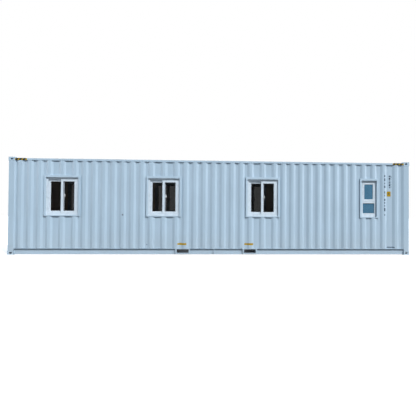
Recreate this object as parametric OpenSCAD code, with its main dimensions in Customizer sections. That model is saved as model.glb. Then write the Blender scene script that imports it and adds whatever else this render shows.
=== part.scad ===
// Shipping container cabin: a long steel container with windows let into
// its corrugated sides, lined and floored inside, with cargo doors at one end.
// Millimetres, +Z up. The long front side faces -Y and the cargo doors face -X.
// The origin is on the ground, under the middle of the container.

/* [Overall size] */
// Length over the corner castings
length = 12192; // [10160:1:14630]
// Width over the corner castings
width = 2438; // [2032:1:2926]
// Height over the corner castings
height = 2896; // [2413:1:3475]

/* [Corner castings] */
// Length of a casting, along the container
casting_l = 178; // [170:1:200]
// Width of a casting, across the container
casting_w = 162; // [155:1:180]
// Height of a casting
casting_h = 118; // [112:1:130]
// Thickness of the plate with the lifting slot
casting_plate = 28; // [20:1:30]
// Thickness of the end and side walls of a casting
casting_wall = 15; // [12:1:18]
// Thickness of the walls that face the inside
casting_back = 12; // [8:1:12]
// Length of the lifting slot
slot_l = 124; // [115:0.5:126]
// Width of the lifting slot
slot_w = 63.5; // [60:0.5:65]
// Distance between slot centres and the ends of the container
slot_from_end = 103.5; // [102:0.5:104]
// Distance between slot centres and the sides of the container
slot_from_side = 89.5; // [85:0.5:92]

/* [Corrugated sheet] */
// Sheet thickness
sheet_t = 2; // [1.6:0.1:3]
// How far the outer ridges lie behind the castings
ridge_inset = 8; // [6:1:12]
// Depth of the corrugation
wave_depth = 36; // [30:1:40]
// Nominal distance from valley to valley
wave_pitch = 280; // [250:1:300]
// Width of a slope
wave_slope = 68; // [40:1:70]
// Width of a ridge
wave_ridge = 74; // [60:1:80]
// Flat width of a plain valley
valley_flat = 70; // [60:1:80]
// Flat width of the two valleys under a wide window
wide_flat = 162; // [120:1:170]
// Flat width of the three valleys around the narrow window
narrow_flat = 110; // [90:1:120]
// Flat width of the valley that carries the plate
plate_flat = 180; // [150:1:190]

/* [Windows] */
// Width of a wide window surround
window_w = 1050; // [875:1:1260]
// Width of the narrow window surround
narrow_w = 590; // [492:1:708]
// Distance of the narrow window from the middle of its corrugations
narrow_shift = 20; // [0:1:30]
// Height of every window surround
window_h = 1220; // [1017:1:1464]
// Distance from the top of the container to the top of the surrounds
window_drop = 526; // [400:1:560]
// Distance from the door end to the middle of the first window
first_window = 1556; // [1300:1:1863]
// Distance between the middles of the wide windows
window_pitch = 3010; // [2487:1:3200]
// Face width of a surround at the sides
surround_side = 55; // [40:1:70]
// Face width of a surround at the top
surround_head = 66; // [50:1:75]
// Face width of a surround at the bottom
surround_foot = 30; // [24:1:50]
// Thickness of the surround plate
surround_t = 4; // [3:0.5:6]
// Face width of a window frame
frame_face = 56; // [45:1:70]
// Depth from the surround's face to the window frame
reveal = 46; // [40:1:60]
// Width of a sash stile
stile = 65; // [50:1:75]
// Height of a sash rail
sash_rail = 68; // [50:1:85]
// Thickness of a sliding sash
sash_t = 30; // [24:1:32]
// Height of the middle bar of the narrow window
mullion = 62; // [45:1:70]
// Height of the fixed pane of the narrow window
low_pane_h = 310; // [250:1:400]
// Thickness of the panes
glass_t = 6; // [4:1:8]

/* [Rails and posts] */
// Distance from the top of the container to the top of the top rails
rail_drop = 36; // [6:1:50]
// Side of the square top rails
top_rail = 60; // [50:1:80]
// Wall of the tube rails
tube_wall = 4; // [3:0.5:6]
// Ground to the underside of the bottom rails
rail_bottom = 22; // [12:1:30]
// Ground to the top of the bottom rails
rail_top = 190; // [180:1:200]
// Depth of a bottom rail's upper lip
rail_lip = 48; // [40:1:52]
// Depth of a bottom rail's lower lip
rail_foot = 30; // [25:1:40]
// Thickness of the bottom rails
rail_t = 4.5; // [4:0.5:6]
// Width of a door end post, across the container
door_post_w = 50; // [46:1:60]
// Width of a closed end post, across the container
end_post_w = 120; // [90:1:140]
// Wall of the posts
post_wall = 6; // [4:0.5:8]

/* [Floor and base] */
// Inner width of a forklift pocket
pocket_w = 360; // [330:1:400]
// Inner height of a forklift pocket
pocket_h = 115; // [100:1:115]
// Distance between the middles of the pockets
pocket_gap = 2040; // [1800:1:2300]
// How far the pockets' middle lies towards the closed end
pocket_shift = 72; // [0:1:90]
// Nominal distance between cross members
member_pitch = 305; // [280:1:400]
// Height of a cross member
member_h = 122; // [110:1:125]
// Thickness of the floor boards
floor_t = 28; // [21:1:32]

/* [Lining] */
// Thickness of the insulated lining
lining_t = 72; // [70:1:100]
// Thickness of the insulated ceiling
ceiling_t = 50; // [40:1:60]

/* [Cargo doors] */
// How far the door leaves lie behind the castings
door_inset = 53; // [50:1:60]
// Thickness of a door leaf
leaf_t = 50; // [40:1:55]
// Width of the door seal
seal_w = 14; // [10:1:16]
// Width of a door leaf's frame bars
leaf_bar = 100; // [80:1:120]
// Diameter of a locking bar
bar_d = 34; // [28:1:34]

/* [Hidden] */
$fn = 48;

// Clearance between pieces that are welded, glued or screwed together
fit = 0.3;
// Extra length of a cutting tool past the faces that it cuts
cut = 1;

half_l = length / 2;
half_w = width / 2;

// Places along the container
post_l = half_l - casting_l;        // inner face of the castings and posts
end_inset = 12;                     // posts behind the castings at the ends
post_inset = 4;                     // posts behind the castings at the sides

// Depths behind the plane of the castings' side faces
surround_d = 2;
valley_d = ridge_inset + wave_depth;
top_rail_d = 6;
rail_d = 3;
web_d = rail_d + rail_lip;
lining_d = valley_d + sheet_t + fit;
room_d = lining_d + lining_t;
frame_d = surround_d + reveal;

// Heights
top_rail_top = height - rail_drop;
top_rail_bottom = top_rail_top - top_rail;
floor_bottom = 180;
floor_top = floor_bottom + floor_t;
ceiling_bottom = top_rail_bottom - 6 - ceiling_t;
window_top = height - window_drop;
window_bottom = window_top - window_h;

// The door opening
sill_top = 200;
header_bottom = height - casting_h;
opening_half = half_w - post_inset - door_post_w;
door_x = -half_l + door_inset;
sill_depth = 106;
header_depth = 80;
sill_x = door_x + 3;
closed_x = half_l - end_inset - 4;

// The wide windows and the valleys of the long sides
window_x = [for (i = [0:2]) -half_l + first_window + i * window_pitch];
pair_half = wave_ridge / 2 + wave_slope * 2 + wide_flat;
plain_w = 2 * wave_slope + valley_flat;
edge_slope = 28;
edge_flat = 30;
edge_ridge = 8;
last_valley = post_l - edge_ridge - plain_w;
plate_valley = last_valley - wave_ridge - plate_flat - 2 * wave_slope;
narrow_valley_w = narrow_flat + 2 * wave_slope;
narrow_start = plate_valley - 3 * (narrow_valley_w + wave_ridge);
narrow_x = narrow_start + 1.5 * narrow_valley_w + wave_ridge + narrow_shift;
run_edges = [
    [-post_l + edge_slope + edge_flat + wave_slope, window_x[0] - pair_half],
    [window_x[0] + pair_half, window_x[1] - pair_half],
    [window_x[1] + pair_half, window_x[2] - pair_half],
    [window_x[2] + pair_half, narrow_start]
];

// A valley is [start, slope in, flat, slope out]; runs hold evenly spaced plain ones
function run_count(a, b) = max(0, round((b - a - wave_ridge) / wave_pitch));
function run_valleys(a, b) =
    let (n = run_count(a, b), p = n > 0 ? (b - a - wave_ridge) / n : 0)
    [for (i = [0:1:n - 1])
        [a + wave_ridge + p * i + (p - wave_ridge - plain_w) / 2, wave_slope, valley_flat, wave_slope]];
function window_pair(x) = [
    [x - pair_half, wave_slope, wide_flat, wave_slope],
    [x + wave_ridge / 2, wave_slope, wide_flat, wave_slope]
];
side_valleys = concat(
    [[-post_l, edge_slope, edge_flat, wave_slope]],
    run_valleys(run_edges[0][0], run_edges[0][1]), window_pair(window_x[0]),
    run_valleys(run_edges[1][0], run_edges[1][1]), window_pair(window_x[1]),
    run_valleys(run_edges[2][0], run_edges[2][1]), window_pair(window_x[2]),
    run_valleys(run_edges[3][0], run_edges[3][1]),
    [for (i = [0:2])
        [narrow_start + i * (narrow_valley_w + wave_ridge), wave_slope, narrow_flat, wave_slope]],
    [[plate_valley, wave_slope, plate_flat, wave_slope]],
    [[last_valley, wave_slope, valley_flat, wave_slope]]
);

// Evenly spread valleys between s0 and s1, with a flat margin at both ends
function even_valleys(s0, s1, n, slope, flat) =
    let (p = (s1 - s0) / n)
    [for (i = [0:n - 1]) [s0 + p * (i + 0.5) - flat / 2 - slope, slope, flat, slope]];

// The path of a corrugated sheet from s0 to s1, between the depths d0 and d1
function wave_path(valleys, s0, s1, d0, d1) = concat(
    valleys[0][0] > s0 ? [[s0, d0]] : [],
    [for (v = valleys) each [
        [v[0], d0], [v[0] + v[1], d1],
        [v[0] + v[1] + v[2], d1], [v[0] + v[1] + v[2] + v[3], d0]
    ]],
    [[s1, d0]]
);
function strip(path, t) =
    concat(path, [for (i = [len(path) - 1:-1:0]) path[i] + [0, t]]);

// ---- Shared shapes -------------------------------------------------------

module box(x, y, z) {
    translate([x[0], y[0], z[0]])
        cube([x[1] - x[0], y[1] - y[0], z[1] - z[0]]);
}

// A box on the front side, with its depth measured from the castings' faces
module side_box(x, d, z) {
    box(x, [-half_w + d[0], -half_w + d[1]], z);
}

// An upright rectangular ring on the front side
module side_ring(x, d, z, side, bottom, top) {
    difference() {
        side_box(x, d, z);
        side_box([x[0] + side, x[1] - side], [d[0] - cut, d[1] + cut], [z[0] + bottom, z[1] - top]);
    }
}

module to_back() {
    mirror([0, 1, 0]) children();
}

module both_sides() {
    children();
    to_back() children();
}

module both_ends() {
    children();
    mirror([1, 0, 0]) children();
}

// A hole with round ends, along X, standing on the XY plane
module slot(l, w, h) {
    for (s = [-1, 1])
        translate([s * (l - w) / 2, 0, 0])
            cylinder(d = w, h = h);
    translate([-(l - w) / 2, -w / 2, 0])
        cube([l - w, w, h]);
}

// ---- Corner castings and frame ------------------------------------------

// A casting for the front corner at the door end, standing on its slot plate
module casting() {
    side_hole_x = 101.5;
    end_hole_y = 89;
    hole_z = 60;
    hole_h = 51;
    side_hole_l = 79;
    end_hole_l = 64;
    translate([-half_l, -half_w, 0])
        difference() {
            cube([casting_l, casting_w, casting_h]);
            translate([casting_wall, casting_wall, casting_plate])
                cube([
                    casting_l - casting_wall - casting_back,
                    casting_w - casting_wall - casting_back,
                    casting_h - casting_plate - casting_back
                ]);
            translate([slot_from_end, slot_from_side, -cut])
                slot(slot_l, slot_w, casting_plate + 2 * cut);
            translate([side_hole_x, casting_wall + cut, hole_z])
                rotate([90, 0, 0])
                    slot(side_hole_l, hole_h, casting_wall + 2 * cut);
            translate([-cut, end_hole_y, hole_z])
                rotate([0, 90, 0])
                    rotate([0, 0, 90])
                        slot(end_hole_l, hole_h, casting_wall + 2 * cut);
        }
}

module bottom_corner_castings() {
    color("lightsteelblue")
        both_ends() both_sides() casting();
}

module top_corner_castings() {
    color("lightsteelblue")
        translate([0, 0, height])
            mirror([0, 0, 1])
                both_ends() both_sides() casting();
}

// A hollow post between the castings of the front corner at the door end
module post(post_w) {
    x = [-half_l + end_inset, -post_l];
    d = [post_inset, post_inset + post_w];
    z = [casting_h, height - casting_h];
    difference() {
        side_box(x, d, z);
        side_box([x[0] + post_wall, x[1] - post_wall], [d[0] + post_wall, d[1] - post_wall],
                 [z[0] - cut, z[1] + cut]);
    }
}

module door_end_posts() {
    color("lightsteelblue")
        both_sides() post(door_post_w);
}

module closed_end_posts() {
    color("lightsteelblue")
        mirror([1, 0, 0])
            both_sides() post(end_post_w);
}

module top_side_rail() {
    x = [-post_l + fit, post_l - fit];
    d = [top_rail_d, top_rail_d + top_rail];
    z = [top_rail_bottom, top_rail_top];
    difference() {
        side_box(x, d, z);
        side_box([x[0] - cut, x[1] + cut], [d[0] + tube_wall, d[1] - tube_wall],
                 [z[0] + tube_wall, z[1] - tube_wall]);
    }
}

module front_top_rail() {
    color("lightsteelblue") top_side_rail();
}

module back_top_rail() {
    color("lightsteelblue") to_back() top_side_rail();
}

// Middles of the two forklift pockets
pocket_x = [pocket_shift - pocket_gap / 2, pocket_shift + pocket_gap / 2];
pocket_wall = 6;
pocket_bottom = floor_bottom - 1 - pocket_wall - pocket_h;
pocket_outer_z = [pocket_bottom - pocket_wall, pocket_bottom + pocket_h + pocket_wall];

// A channel that opens outwards, let out for the forklift pockets, with a stiffener
module bottom_side_rail() {
    gusset = 32;
    x = [-post_l + fit, post_l - fit];
    difference() {
        union() {
            side_box(x, [web_d, web_d + rail_t], [rail_bottom, rail_top]);
            side_box(x, [rail_d, web_d + rail_t], [rail_top - rail_t, rail_top]);
            side_box(x, [web_d - rail_foot, web_d + rail_t], [rail_bottom, rail_bottom + rail_t]);
            side_box([-gusset / 2, gusset / 2], [rail_d + 2, web_d], [rail_bottom, rail_top]);
        }
        for (px = pocket_x)
            side_box([px - pocket_w / 2 - pocket_wall - fit, px + pocket_w / 2 + pocket_wall + fit],
                     [web_d - cut, web_d + rail_t + cut],
                     [pocket_outer_z[0] - fit, pocket_outer_z[1] + fit]);
    }
}

module front_bottom_rail() {
    color("lightsteelblue") bottom_side_rail();
}

module back_bottom_rail() {
    color("lightsteelblue") to_back() bottom_side_rail();
}

// Half the width between two castings
end_half = half_w - casting_w - fit;

// A tube across the container, between two castings unless y says otherwise
module cross_tube(x, z, y = end_half) {
    difference() {
        box(x, [-y, y], z);
        box([x[0] + tube_wall, x[1] - tube_wall], [-y - cut, y + cut],
            [z[0] + tube_wall, z[1] - tube_wall]);
    }
}

module door_header() {
    color("lightsteelblue")
        cross_tube([sill_x, sill_x + header_depth], [header_bottom, top_rail_top]);
}

// A tube between the castings, and on it a wider one that meets the posts
module door_sill() {
    x = [sill_x, sill_x + sill_depth];
    color("lightsteelblue") {
        cross_tube(x, [rail_bottom, casting_h]);
        cross_tube(x, [casting_h + fit, sill_top], opening_half - fit);
    }
}

module closed_end_header() {
    color("lightsteelblue")
        cross_tube([closed_x - top_rail, closed_x], [top_rail_bottom, top_rail_top]);
}

module closed_end_sill() {
    color("lightsteelblue")
        cross_tube([closed_x - top_rail, closed_x], [rail_bottom, rail_top]);
}

// ---- Corrugated skins ----------------------------------------------------

module side_wall() {
    z = [rail_top + fit, top_rail_bottom - fit];
    difference() {
        translate([0, -half_w, z[0]])
            linear_extrude(z[1] - z[0])
                polygon(strip(wave_path(side_valleys, -post_l + fit, post_l - fit,
                                        ridge_inset, valley_d), sheet_t));
        at_windows()
            side_box([-$w / 2 - fit, $w / 2 + fit], [0, valley_d + sheet_t + cut],
                     [window_bottom - fit, window_top + fit]);
        side_box([-post_l - cut, -post_l + fit], [0, valley_d + sheet_t + cut],
                 [z[0] - cut, z[1] + cut]);
    }
}

// Places its children at each window, with the surround's width in $w
module at_windows() {
    at_wide_windows() children();
    at_narrow_window() children();
}

module at_wide_windows() {
    $w = window_w;
    for (x = window_x)
        translate([x, 0, 0]) children();
}

module at_narrow_window() {
    $w = narrow_w;
    translate([narrow_x, 0, 0]) children();
}

module front_wall() {
    color("lightsteelblue") side_wall();
}

module back_wall() {
    color("lightsteelblue") to_back() side_wall();
}

// The end sheet, corrugated between the posts
end_wall_half = half_w - post_inset - end_post_w - fit;
end_wave_depth = 45;
end_wall_in = closed_x - end_wave_depth - sheet_t;

module closed_end_wall() {
    n = 8;
    y = end_wall_half;
    valleys = even_valleys(-y, y, n, wave_slope, valley_flat);
    z = [rail_top + fit, top_rail_bottom - fit];
    color("lightsteelblue")
        difference() {
            translate([closed_x, 0, z[0]])
                rotate([0, 0, 90])
                    linear_extrude(z[1] - z[0])
                        polygon(strip(wave_path(valleys, -y, y, 0, end_wave_depth), sheet_t));
            both_sides()
                box([end_wall_in - cut, closed_x + cut], [end_half, half_w], [header_bottom - fit, height]);
        }
}

// The roof sheet, corrugated across, with a flat stretch at both ends, and a
// plate between the castings at each end that reaches to the header
roof_top = top_rail_top + 3;
roof_flat = 420;
roof_depth = 20;

module roof() {
    pitch = 209;
    slope = 30;
    flat = 60;
    y = half_w - top_rail_d - top_rail - fit;
    x = [-post_l + fit, post_l - fit];
    n = round((x[1] - x[0] - 2 * roof_flat) / pitch);
    valleys = even_valleys(x[0] + roof_flat, x[1] - roof_flat, n, slope, flat);
    color("lightsteelblue") {
        translate([0, y, roof_top])
            rotate([90, 0, 0])
                linear_extrude(2 * y)
                    polygon(strip(wave_path(valleys, x[0], x[1], 0, -roof_depth), -sheet_t));
        for (end = [[sill_x + header_depth + fit, x[0] - fit], [x[1] + fit, closed_x - top_rail - fit]])
            box(end, [-end_half, end_half], [roof_top - sheet_t, roof_top]);
    }
}

// Flat guards on the roof beside each casting
module corner_plates() {
    plate_l = 300;
    plate_t = 4;
    color("lightsteelblue")
        both_ends() both_sides()
            side_box([-post_l + fit, -post_l + plate_l], [top_rail_d, casting_w + 2 * top_rail],
                     [roof_top + fit, roof_top + fit + plate_t]);
}

// ---- Base and floor ------------------------------------------------------

base_x = [sill_x + sill_depth + fit, closed_x - top_rail - fit];
base_half = half_w - web_d - rail_t - fit;

// One channel across the base, opening towards the closed end
module cross_member() {
    flange = 45;
    t = 4;
    z = [floor_bottom - fit - member_h, floor_bottom - fit];
    y = [-base_half, base_half];
    box([0, t], y, z);
    box([0, flange], y, [z[0], z[0] + t]);
    box([0, flange], y, [z[1] - t, z[1]]);
}

module cross_members() {
    flange = 45;
    x0 = -post_l + fit;
    n = round(2 * post_l / member_pitch);
    p = (-2 * x0 - flange) / n;
    keep_off = pocket_w / 2 + pocket_wall + 4;
    color("slategray")
        for (i = [0:n])
            let (x = x0 + i * p)
                if (x + flange < pocket_x[0] - keep_off || x > pocket_x[1] + keep_off
                    || (x > pocket_x[0] + keep_off && x + flange < pocket_x[1] - keep_off))
                    translate([x, 0, 0]) cross_member();
}

// Ducts across the base with a face plate in each side rail
module fork_pockets() {
    rim = 45;
    rim_t = 6;
    d = rail_d + 2;
    hw = pocket_w / 2;
    hy = half_w - d;
    color("lightsteelblue")
        for (px = pocket_x)
            difference() {
                union() {
                    box([px - hw - pocket_wall, px + hw + pocket_wall], [-hy, hy], pocket_outer_z);
                    both_sides()
                        side_box([px - hw - rim, px + hw + rim], [d, d + rim_t],
                                 [rail_bottom + rail_t + fit, rail_top - rail_t - fit]);
                }
                box([px - hw, px + hw], [-hy - cut, hy + cut],
                    [pocket_bottom, pocket_bottom + pocket_h]);
            }
}

// The floor boards, narrower between the closed end's posts
module floor() {
    z = [floor_bottom, floor_top];
    color("burlywood") {
        box([base_x[0], post_l - fit], [-base_half, base_half], z);
        box([post_l - fit, base_x[1]], [-end_wall_half, end_wall_half], z);
    }
}

// ---- Lining --------------------------------------------------------------

end_lining_x = [end_wall_in - fit - lining_t, end_wall_in - fit];

module side_lining() {
    difference() {
        side_box([-post_l + fit, post_l - fit], [lining_d, room_d],
                 [floor_top + fit, ceiling_bottom - fit]);
        at_windows()
            side_box([-$w / 2 + surround_side - surround_t - fit, $w / 2 - surround_side + surround_t + fit],
                     [lining_d - cut, room_d + cut],
                     [window_bottom + surround_foot - surround_t - fit,
                      window_top - surround_head + surround_t + fit]);
    }
}

module front_lining() {
    color("ivory") side_lining();
}

module back_lining() {
    color("ivory") to_back() side_lining();
}

module closed_end_lining() {
    color("ivory")
        box(end_lining_x, [-end_wall_half, end_wall_half], [floor_top + fit, ceiling_bottom - fit]);
}

// The ceiling, with a narrower board between the closed end's castings
module ceiling() {
    y = half_w - lining_d;
    z = [ceiling_bottom, ceiling_bottom + ceiling_t];
    color("ivory") {
        box([-post_l + fit, post_l - fit], [-y, y], z);
        box([post_l, end_lining_x[1]], [-end_half, end_half], z);
    }
}

// ---- Windows -------------------------------------------------------------

// Bent plate around a window opening: a face, a return to the sheet and a reveal
module surround(w) {
    x = [-w / 2, w / 2];
    z = [window_bottom, window_top];
    side_ring(x, [surround_d, surround_d + surround_t], z, surround_side, surround_foot, surround_head);
    side_ring(x, [surround_d, valley_d + sheet_t], z, surround_t, surround_t, surround_t);
    inset_x = surround_side - surround_t;
    side_ring([x[0] + inset_x, x[1] - inset_x], [surround_d, room_d],
              [z[0] + surround_foot - surround_t, z[1] - surround_head + surround_t],
              surround_t, surround_t, surround_t);
}

module window_surrounds() {
    at_windows() surround($w);
}

module front_window_surrounds() {
    color("aliceblue") window_surrounds();
}

module back_window_surrounds() {
    color("aliceblue") to_back() window_surrounds();
}

// The space inside the surround, and the one inside the fixed frame
reveal_z = [window_bottom + surround_foot, window_top - surround_head];
function reveal_half(w) = w / 2 - surround_side;
sash_half = reveal_half(window_w) - frame_face;
sash_z = [reveal_z[0] + frame_face, reveal_z[1] - frame_face];

// The narrow window: a fixed pane below the middle bar and a vent sash above
low_border = 110;
narrow_frame_d = [frame_d + 18, room_d];
low_z = [reveal_z[0] + low_border, reveal_z[0] + low_border + low_pane_h];
vent_z = [low_z[1] + mullion, reveal_z[1] - frame_face];
narrow_half = reveal_half(narrow_w) - frame_face;

module window_frames() {
    at_wide_windows() {
        h = reveal_half($w) - fit;
        side_ring([-h, h], [frame_d, room_d], [reveal_z[0] + fit, reveal_z[1] - fit],
                  frame_face - fit, frame_face - fit, frame_face - fit);
    }
    at_narrow_window() {
        h = reveal_half($w) - fit;
        difference() {
            side_box([-h, h], narrow_frame_d, [reveal_z[0] + fit, reveal_z[1] - fit]);
            for (z = [low_z, vent_z])
                side_box([-narrow_half, narrow_half],
                         [narrow_frame_d[0] - cut, narrow_frame_d[1] + cut], z);
        }
    }
}

module front_window_frames() {
    color("white") window_frames();
}

module back_window_frames() {
    color("white") to_back() window_frames();
}

// Depths of the two sliding sashes; half of the meeting stiles pass the middle
outer_sash_d = [frame_d + 4, frame_d + 4 + sash_t];
inner_sash_d = [outer_sash_d[1] + 4, outer_sash_d[1] + 4 + sash_t];
overlap = 45;

module outer_sashes() {
    color("white")
        both_sides() at_wide_windows()
            side_ring([-overlap, sash_half - fit], outer_sash_d, [sash_z[0] + fit, sash_z[1] - fit],
                      stile, sash_rail, sash_rail);
}

module inner_sashes() {
    color("white")
        both_sides() at_wide_windows()
            side_ring([-sash_half + fit, overlap], inner_sash_d, [sash_z[0] + fit, sash_z[1] - fit],
                      stile, sash_rail, sash_rail);
}

vent_stile = 48;
vent_rail = 62;
vent_sash_d = [narrow_frame_d[0] - 4, narrow_frame_d[0] + 36];

module vent_sashes() {
    color("white")
        both_sides() at_narrow_window()
            side_ring([-narrow_half + fit, narrow_half - fit], vent_sash_d,
                      [vent_z[0] + fit, vent_z[1] - fit], vent_stile, vent_rail, vent_rail);
}

// A pane in the opening of a ring, in the middle of its depth
module pane(x, d, z) {
    middle = (d[0] + d[1]) / 2;
    side_box([x[0] + fit, x[1] - fit], [middle - glass_t / 2, middle + glass_t / 2],
             [z[0] + fit, z[1] - fit]);
}

module clear_panes() {
    z = [sash_z[0] + fit + sash_rail, sash_z[1] - fit - sash_rail];
    color("darkslategray")
        both_sides() at_wide_windows() {
            pane([-overlap + stile, sash_half - fit - stile], outer_sash_d, z);
            pane([-sash_half + fit + stile, overlap - stile], inner_sash_d, z);
        }
}

module frosted_panes() {
    x = narrow_half - fit - vent_stile;
    color("steelblue")
        both_sides() at_narrow_window() {
            pane([-x, x], vent_sash_d, [vent_z[0] + fit + vent_rail, vent_z[1] - fit - vent_rail]);
            pane([-narrow_half, narrow_half], narrow_frame_d, low_z);
        }
}

// A half-moon latch on the side of the inner sash's meeting stile, with its lever
module window_latches() {
    r = 38;
    t = 10;
    lever_l = 62;
    lever_w = 14;
    d = (inner_sash_d[0] + inner_sash_d[1]) / 2;
    z = (sash_z[0] + sash_z[1]) / 2 + 20;
    color("silver")
        both_sides() at_wide_windows() {
            difference() {
                translate([overlap + fit, -half_w + d + t / 2, z])
                    rotate([90, 0, 0])
                        cylinder(r = r, h = t);
                side_box([overlap + fit - r - cut, overlap + fit], [d - t, d + t],
                         [z - r - cut, z + r + cut]);
            }
            side_box([overlap + fit, overlap + fit + lever_w], [d - t / 2, d + t / 2], [z, z + lever_l]);
        }
}

// ---- Cargo doors ---------------------------------------------------------

leaf_y = [seal_w + 2 * fit, opening_half - seal_w - 2 * fit];
leaf_z = [sill_top + seal_w + 2 * fit, header_bottom - seal_w - 2 * fit];
leaf_x = [door_x, door_x + leaf_t];

panel_z = [leaf_z[0] + leaf_bar, leaf_z[1] - leaf_bar];
panel_valleys = 5;

// Height of a ridge of the door panel, counted from the bottom
function panel_ridge(k) = panel_z[0] + k * (panel_z[1] - panel_z[0]) / panel_valleys;

// A leaf on the back side of the middle: a frame of bars with a corrugated panel
module cargo_door() {
    bite = 5;
    panel_slope = 40;
    panel_flat = 80;
    iy = [leaf_y[0] + leaf_bar, leaf_y[1] - leaf_bar];
    iz = panel_z;
    difference() {
        box(leaf_x, leaf_y, leaf_z);
        box([leaf_x[0] - cut, leaf_x[1] + cut], iy, iz);
    }
    translate([leaf_x[0] + sheet_t, iy[1] + bite, 0])
        rotate([90, 0, 0])
            linear_extrude(iy[1] - iy[0] + 2 * bite)
                polygon([for (p = strip(wave_path(
                    even_valleys(iz[0], iz[1], panel_valleys, panel_slope, panel_flat),
                    iz[0] - bite, iz[1] + bite, 0, wave_depth), sheet_t)) [p[1], p[0]]]);
}

module left_cargo_door() {
    color("lightsteelblue") cargo_door();
}

module right_cargo_door() {
    color("lightsteelblue") to_back() cargo_door();
}

module door_seals() {
    seal_t = 22;
    x = [door_x + 10, door_x + 10 + seal_t];
    color("dimgray")
        both_sides()
            difference() {
                box(x, [fit, opening_half - fit], [sill_top + fit, header_bottom - fit]);
                box([x[0] - cut, x[1] + cut], [leaf_y[0] - fit, leaf_y[1] + fit],
                    [leaf_z[0] - fit, leaf_z[1] + fit]);
            }
}

// Places of the locking bars, from the middle of the doors
bar_y = [0.2, 0.78] * leaf_y[1];
bar_x = door_x - 5 - bar_d / 2;
bar_z = [sill_top - 58, header_bottom + 58];
handle_z = panel_ridge(2);

module at_bars() {
    both_sides()
        for (y = bar_y)
            translate([bar_x, y, 0]) children();
}

// As at_bars, with the children's -Y side turned to the middle of the leaf
module at_facing_bars() {
    both_sides() {
        translate([bar_x, bar_y[0], 0]) mirror([0, 1, 0]) children();
        translate([bar_x, bar_y[1], 0]) children();
    }
}

// Full-height bars with a cam above and below the leaf's edges
module locking_bars() {
    cam_w = 56;
    cam_h = 14;
    r = bar_d / 2;
    color("silver")
        at_bars() {
            translate([0, 0, bar_z[0]]) cylinder(d = bar_d, h = bar_z[1] - bar_z[0]);
            for (z = [sill_top + 4, header_bottom - 4 - cam_h])
                box([-r, r], [-cam_w / 2, cam_w / 2], [z, z + cam_h]);
        }
}

// Forks on the sill and the header that hold the bar ends
module bar_keepers() {
    keeper_w = 74;
    keeper_h = 44;
    r = bar_d / 2;
    color("silver")
        at_bars()
            for (z = [sill_top - 6 - keeper_h, header_bottom + 6])
                difference() {
                    box([-r, sill_x - fit - bar_x], [-keeper_w / 2, keeper_w / 2], [z, z + keeper_h]);
                    box([-r - cut, r + 2], [-r - 2, r + 2], [z - cut, z + keeper_h + cut]);
                }
}

// Bearing blocks that hold the bars to the leaves' frames and to the panels' ridges
module bar_guides() {
    guide_w = 70;
    guide_h = 44;
    r = bar_d / 2;
    on_frame = door_x - fit - bar_x;
    seats = [
        [leaf_z[0] + leaf_bar / 2, on_frame], [panel_ridge(1), on_frame + sheet_t],
        [panel_ridge(3), on_frame + sheet_t], [leaf_z[1] - leaf_bar / 2, on_frame]
    ];
    color("silver")
        at_bars()
            for (s = seats)
                translate([0, 0, s[0] - guide_h / 2])
                    difference() {
                        box([-r - 4, s[1]], [-guide_w / 2, guide_w / 2], [0, guide_h]);
                        translate([0, 0, -cut])
                            cylinder(r = r + fit, h = guide_h + 2 * cut);
                    }
}

// A hub around each bar with a flat lever, and the catch on the leaf behind its end
module door_handles() {
    hub_h = 40;
    lever_l = 290;
    lever_h = 30;
    lever_t = 7;
    catch_w = 36;
    catch_h = 60;
    r = bar_d / 2;
    color("silver")
        at_facing_bars()
            translate([0, 0, handle_z]) {
                difference() {
                    translate([0, 0, -hub_h / 2]) cylinder(r = r + 4, h = hub_h);
                    translate([0, 0, -hub_h / 2 - cut]) cylinder(r = r + fit, h = hub_h + 2 * cut);
                }
                box([-r - fit - lever_t, -r - fit], [-lever_l, 12], [-lever_h / 2, lever_h / 2]);
                box([-r - fit, door_x + sheet_t - fit - bar_x], [-lever_l, -lever_l + catch_w],
                    [-catch_h / 2, catch_h / 2]);
            }
}

// Hinges: a strap on the leaf, a pin beside the post and two lugs on the post
module door_hinges() {
    n = 5;
    pin_r = 11;
    strap_h = 90;
    strap_l = 110;
    strap_t = 9;
    lug_h = 14;
    pin_x = door_x - pin_r - 3;
    pin_y = opening_half - pin_r - 3;
    color("lightsteelblue")
        both_sides()
            for (i = [0:n - 1])
                translate([0, 0, leaf_z[0] + (i + 0.5) * (leaf_z[1] - leaf_z[0]) / n]) {
                    translate([pin_x, pin_y, -strap_h / 2 - lug_h])
                        cylinder(r = pin_r, h = strap_h + 2 * lug_h);
                    box([door_x - fit - strap_t, door_x - fit], [pin_y - strap_l, pin_y],
                        [-strap_h / 2, strap_h / 2]);
                    for (z = [-strap_h / 2 - lug_h, strap_h / 2])
                        box([pin_x - pin_r, pin_x + pin_r], [pin_y, opening_half - fit], [z, z + lug_h]);
                }
}

// ---- Small fittings ------------------------------------------------------

// Two round caps over service holes: one on a ridge, one in a valley
module outlet_caps() {
    cap_d = 50;
    cap_t = 6;
    cap_z = 1200;
    plug_d = 30;
    plug_z = 306;
    n = run_count(run_edges[1][0], run_edges[1][1]);
    row = run_valleys(run_edges[1][0], run_edges[1][1]);
    cap_run = row[min(5, n - 1)];
    plug_run = row[n - 1];
    color("dimgray") {
        translate([cap_run[0] - wave_ridge / 2, -half_w + ridge_inset - fit, cap_z])
            rotate([90, 0, 0]) cylinder(d = cap_d, h = cap_t);
        translate([plug_run[0] + plain_w / 2 + 20, -half_w + valley_d - fit, plug_z])
            rotate([90, 0, 0]) cylinder(d = plug_d, h = cap_t);
    }
}

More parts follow.
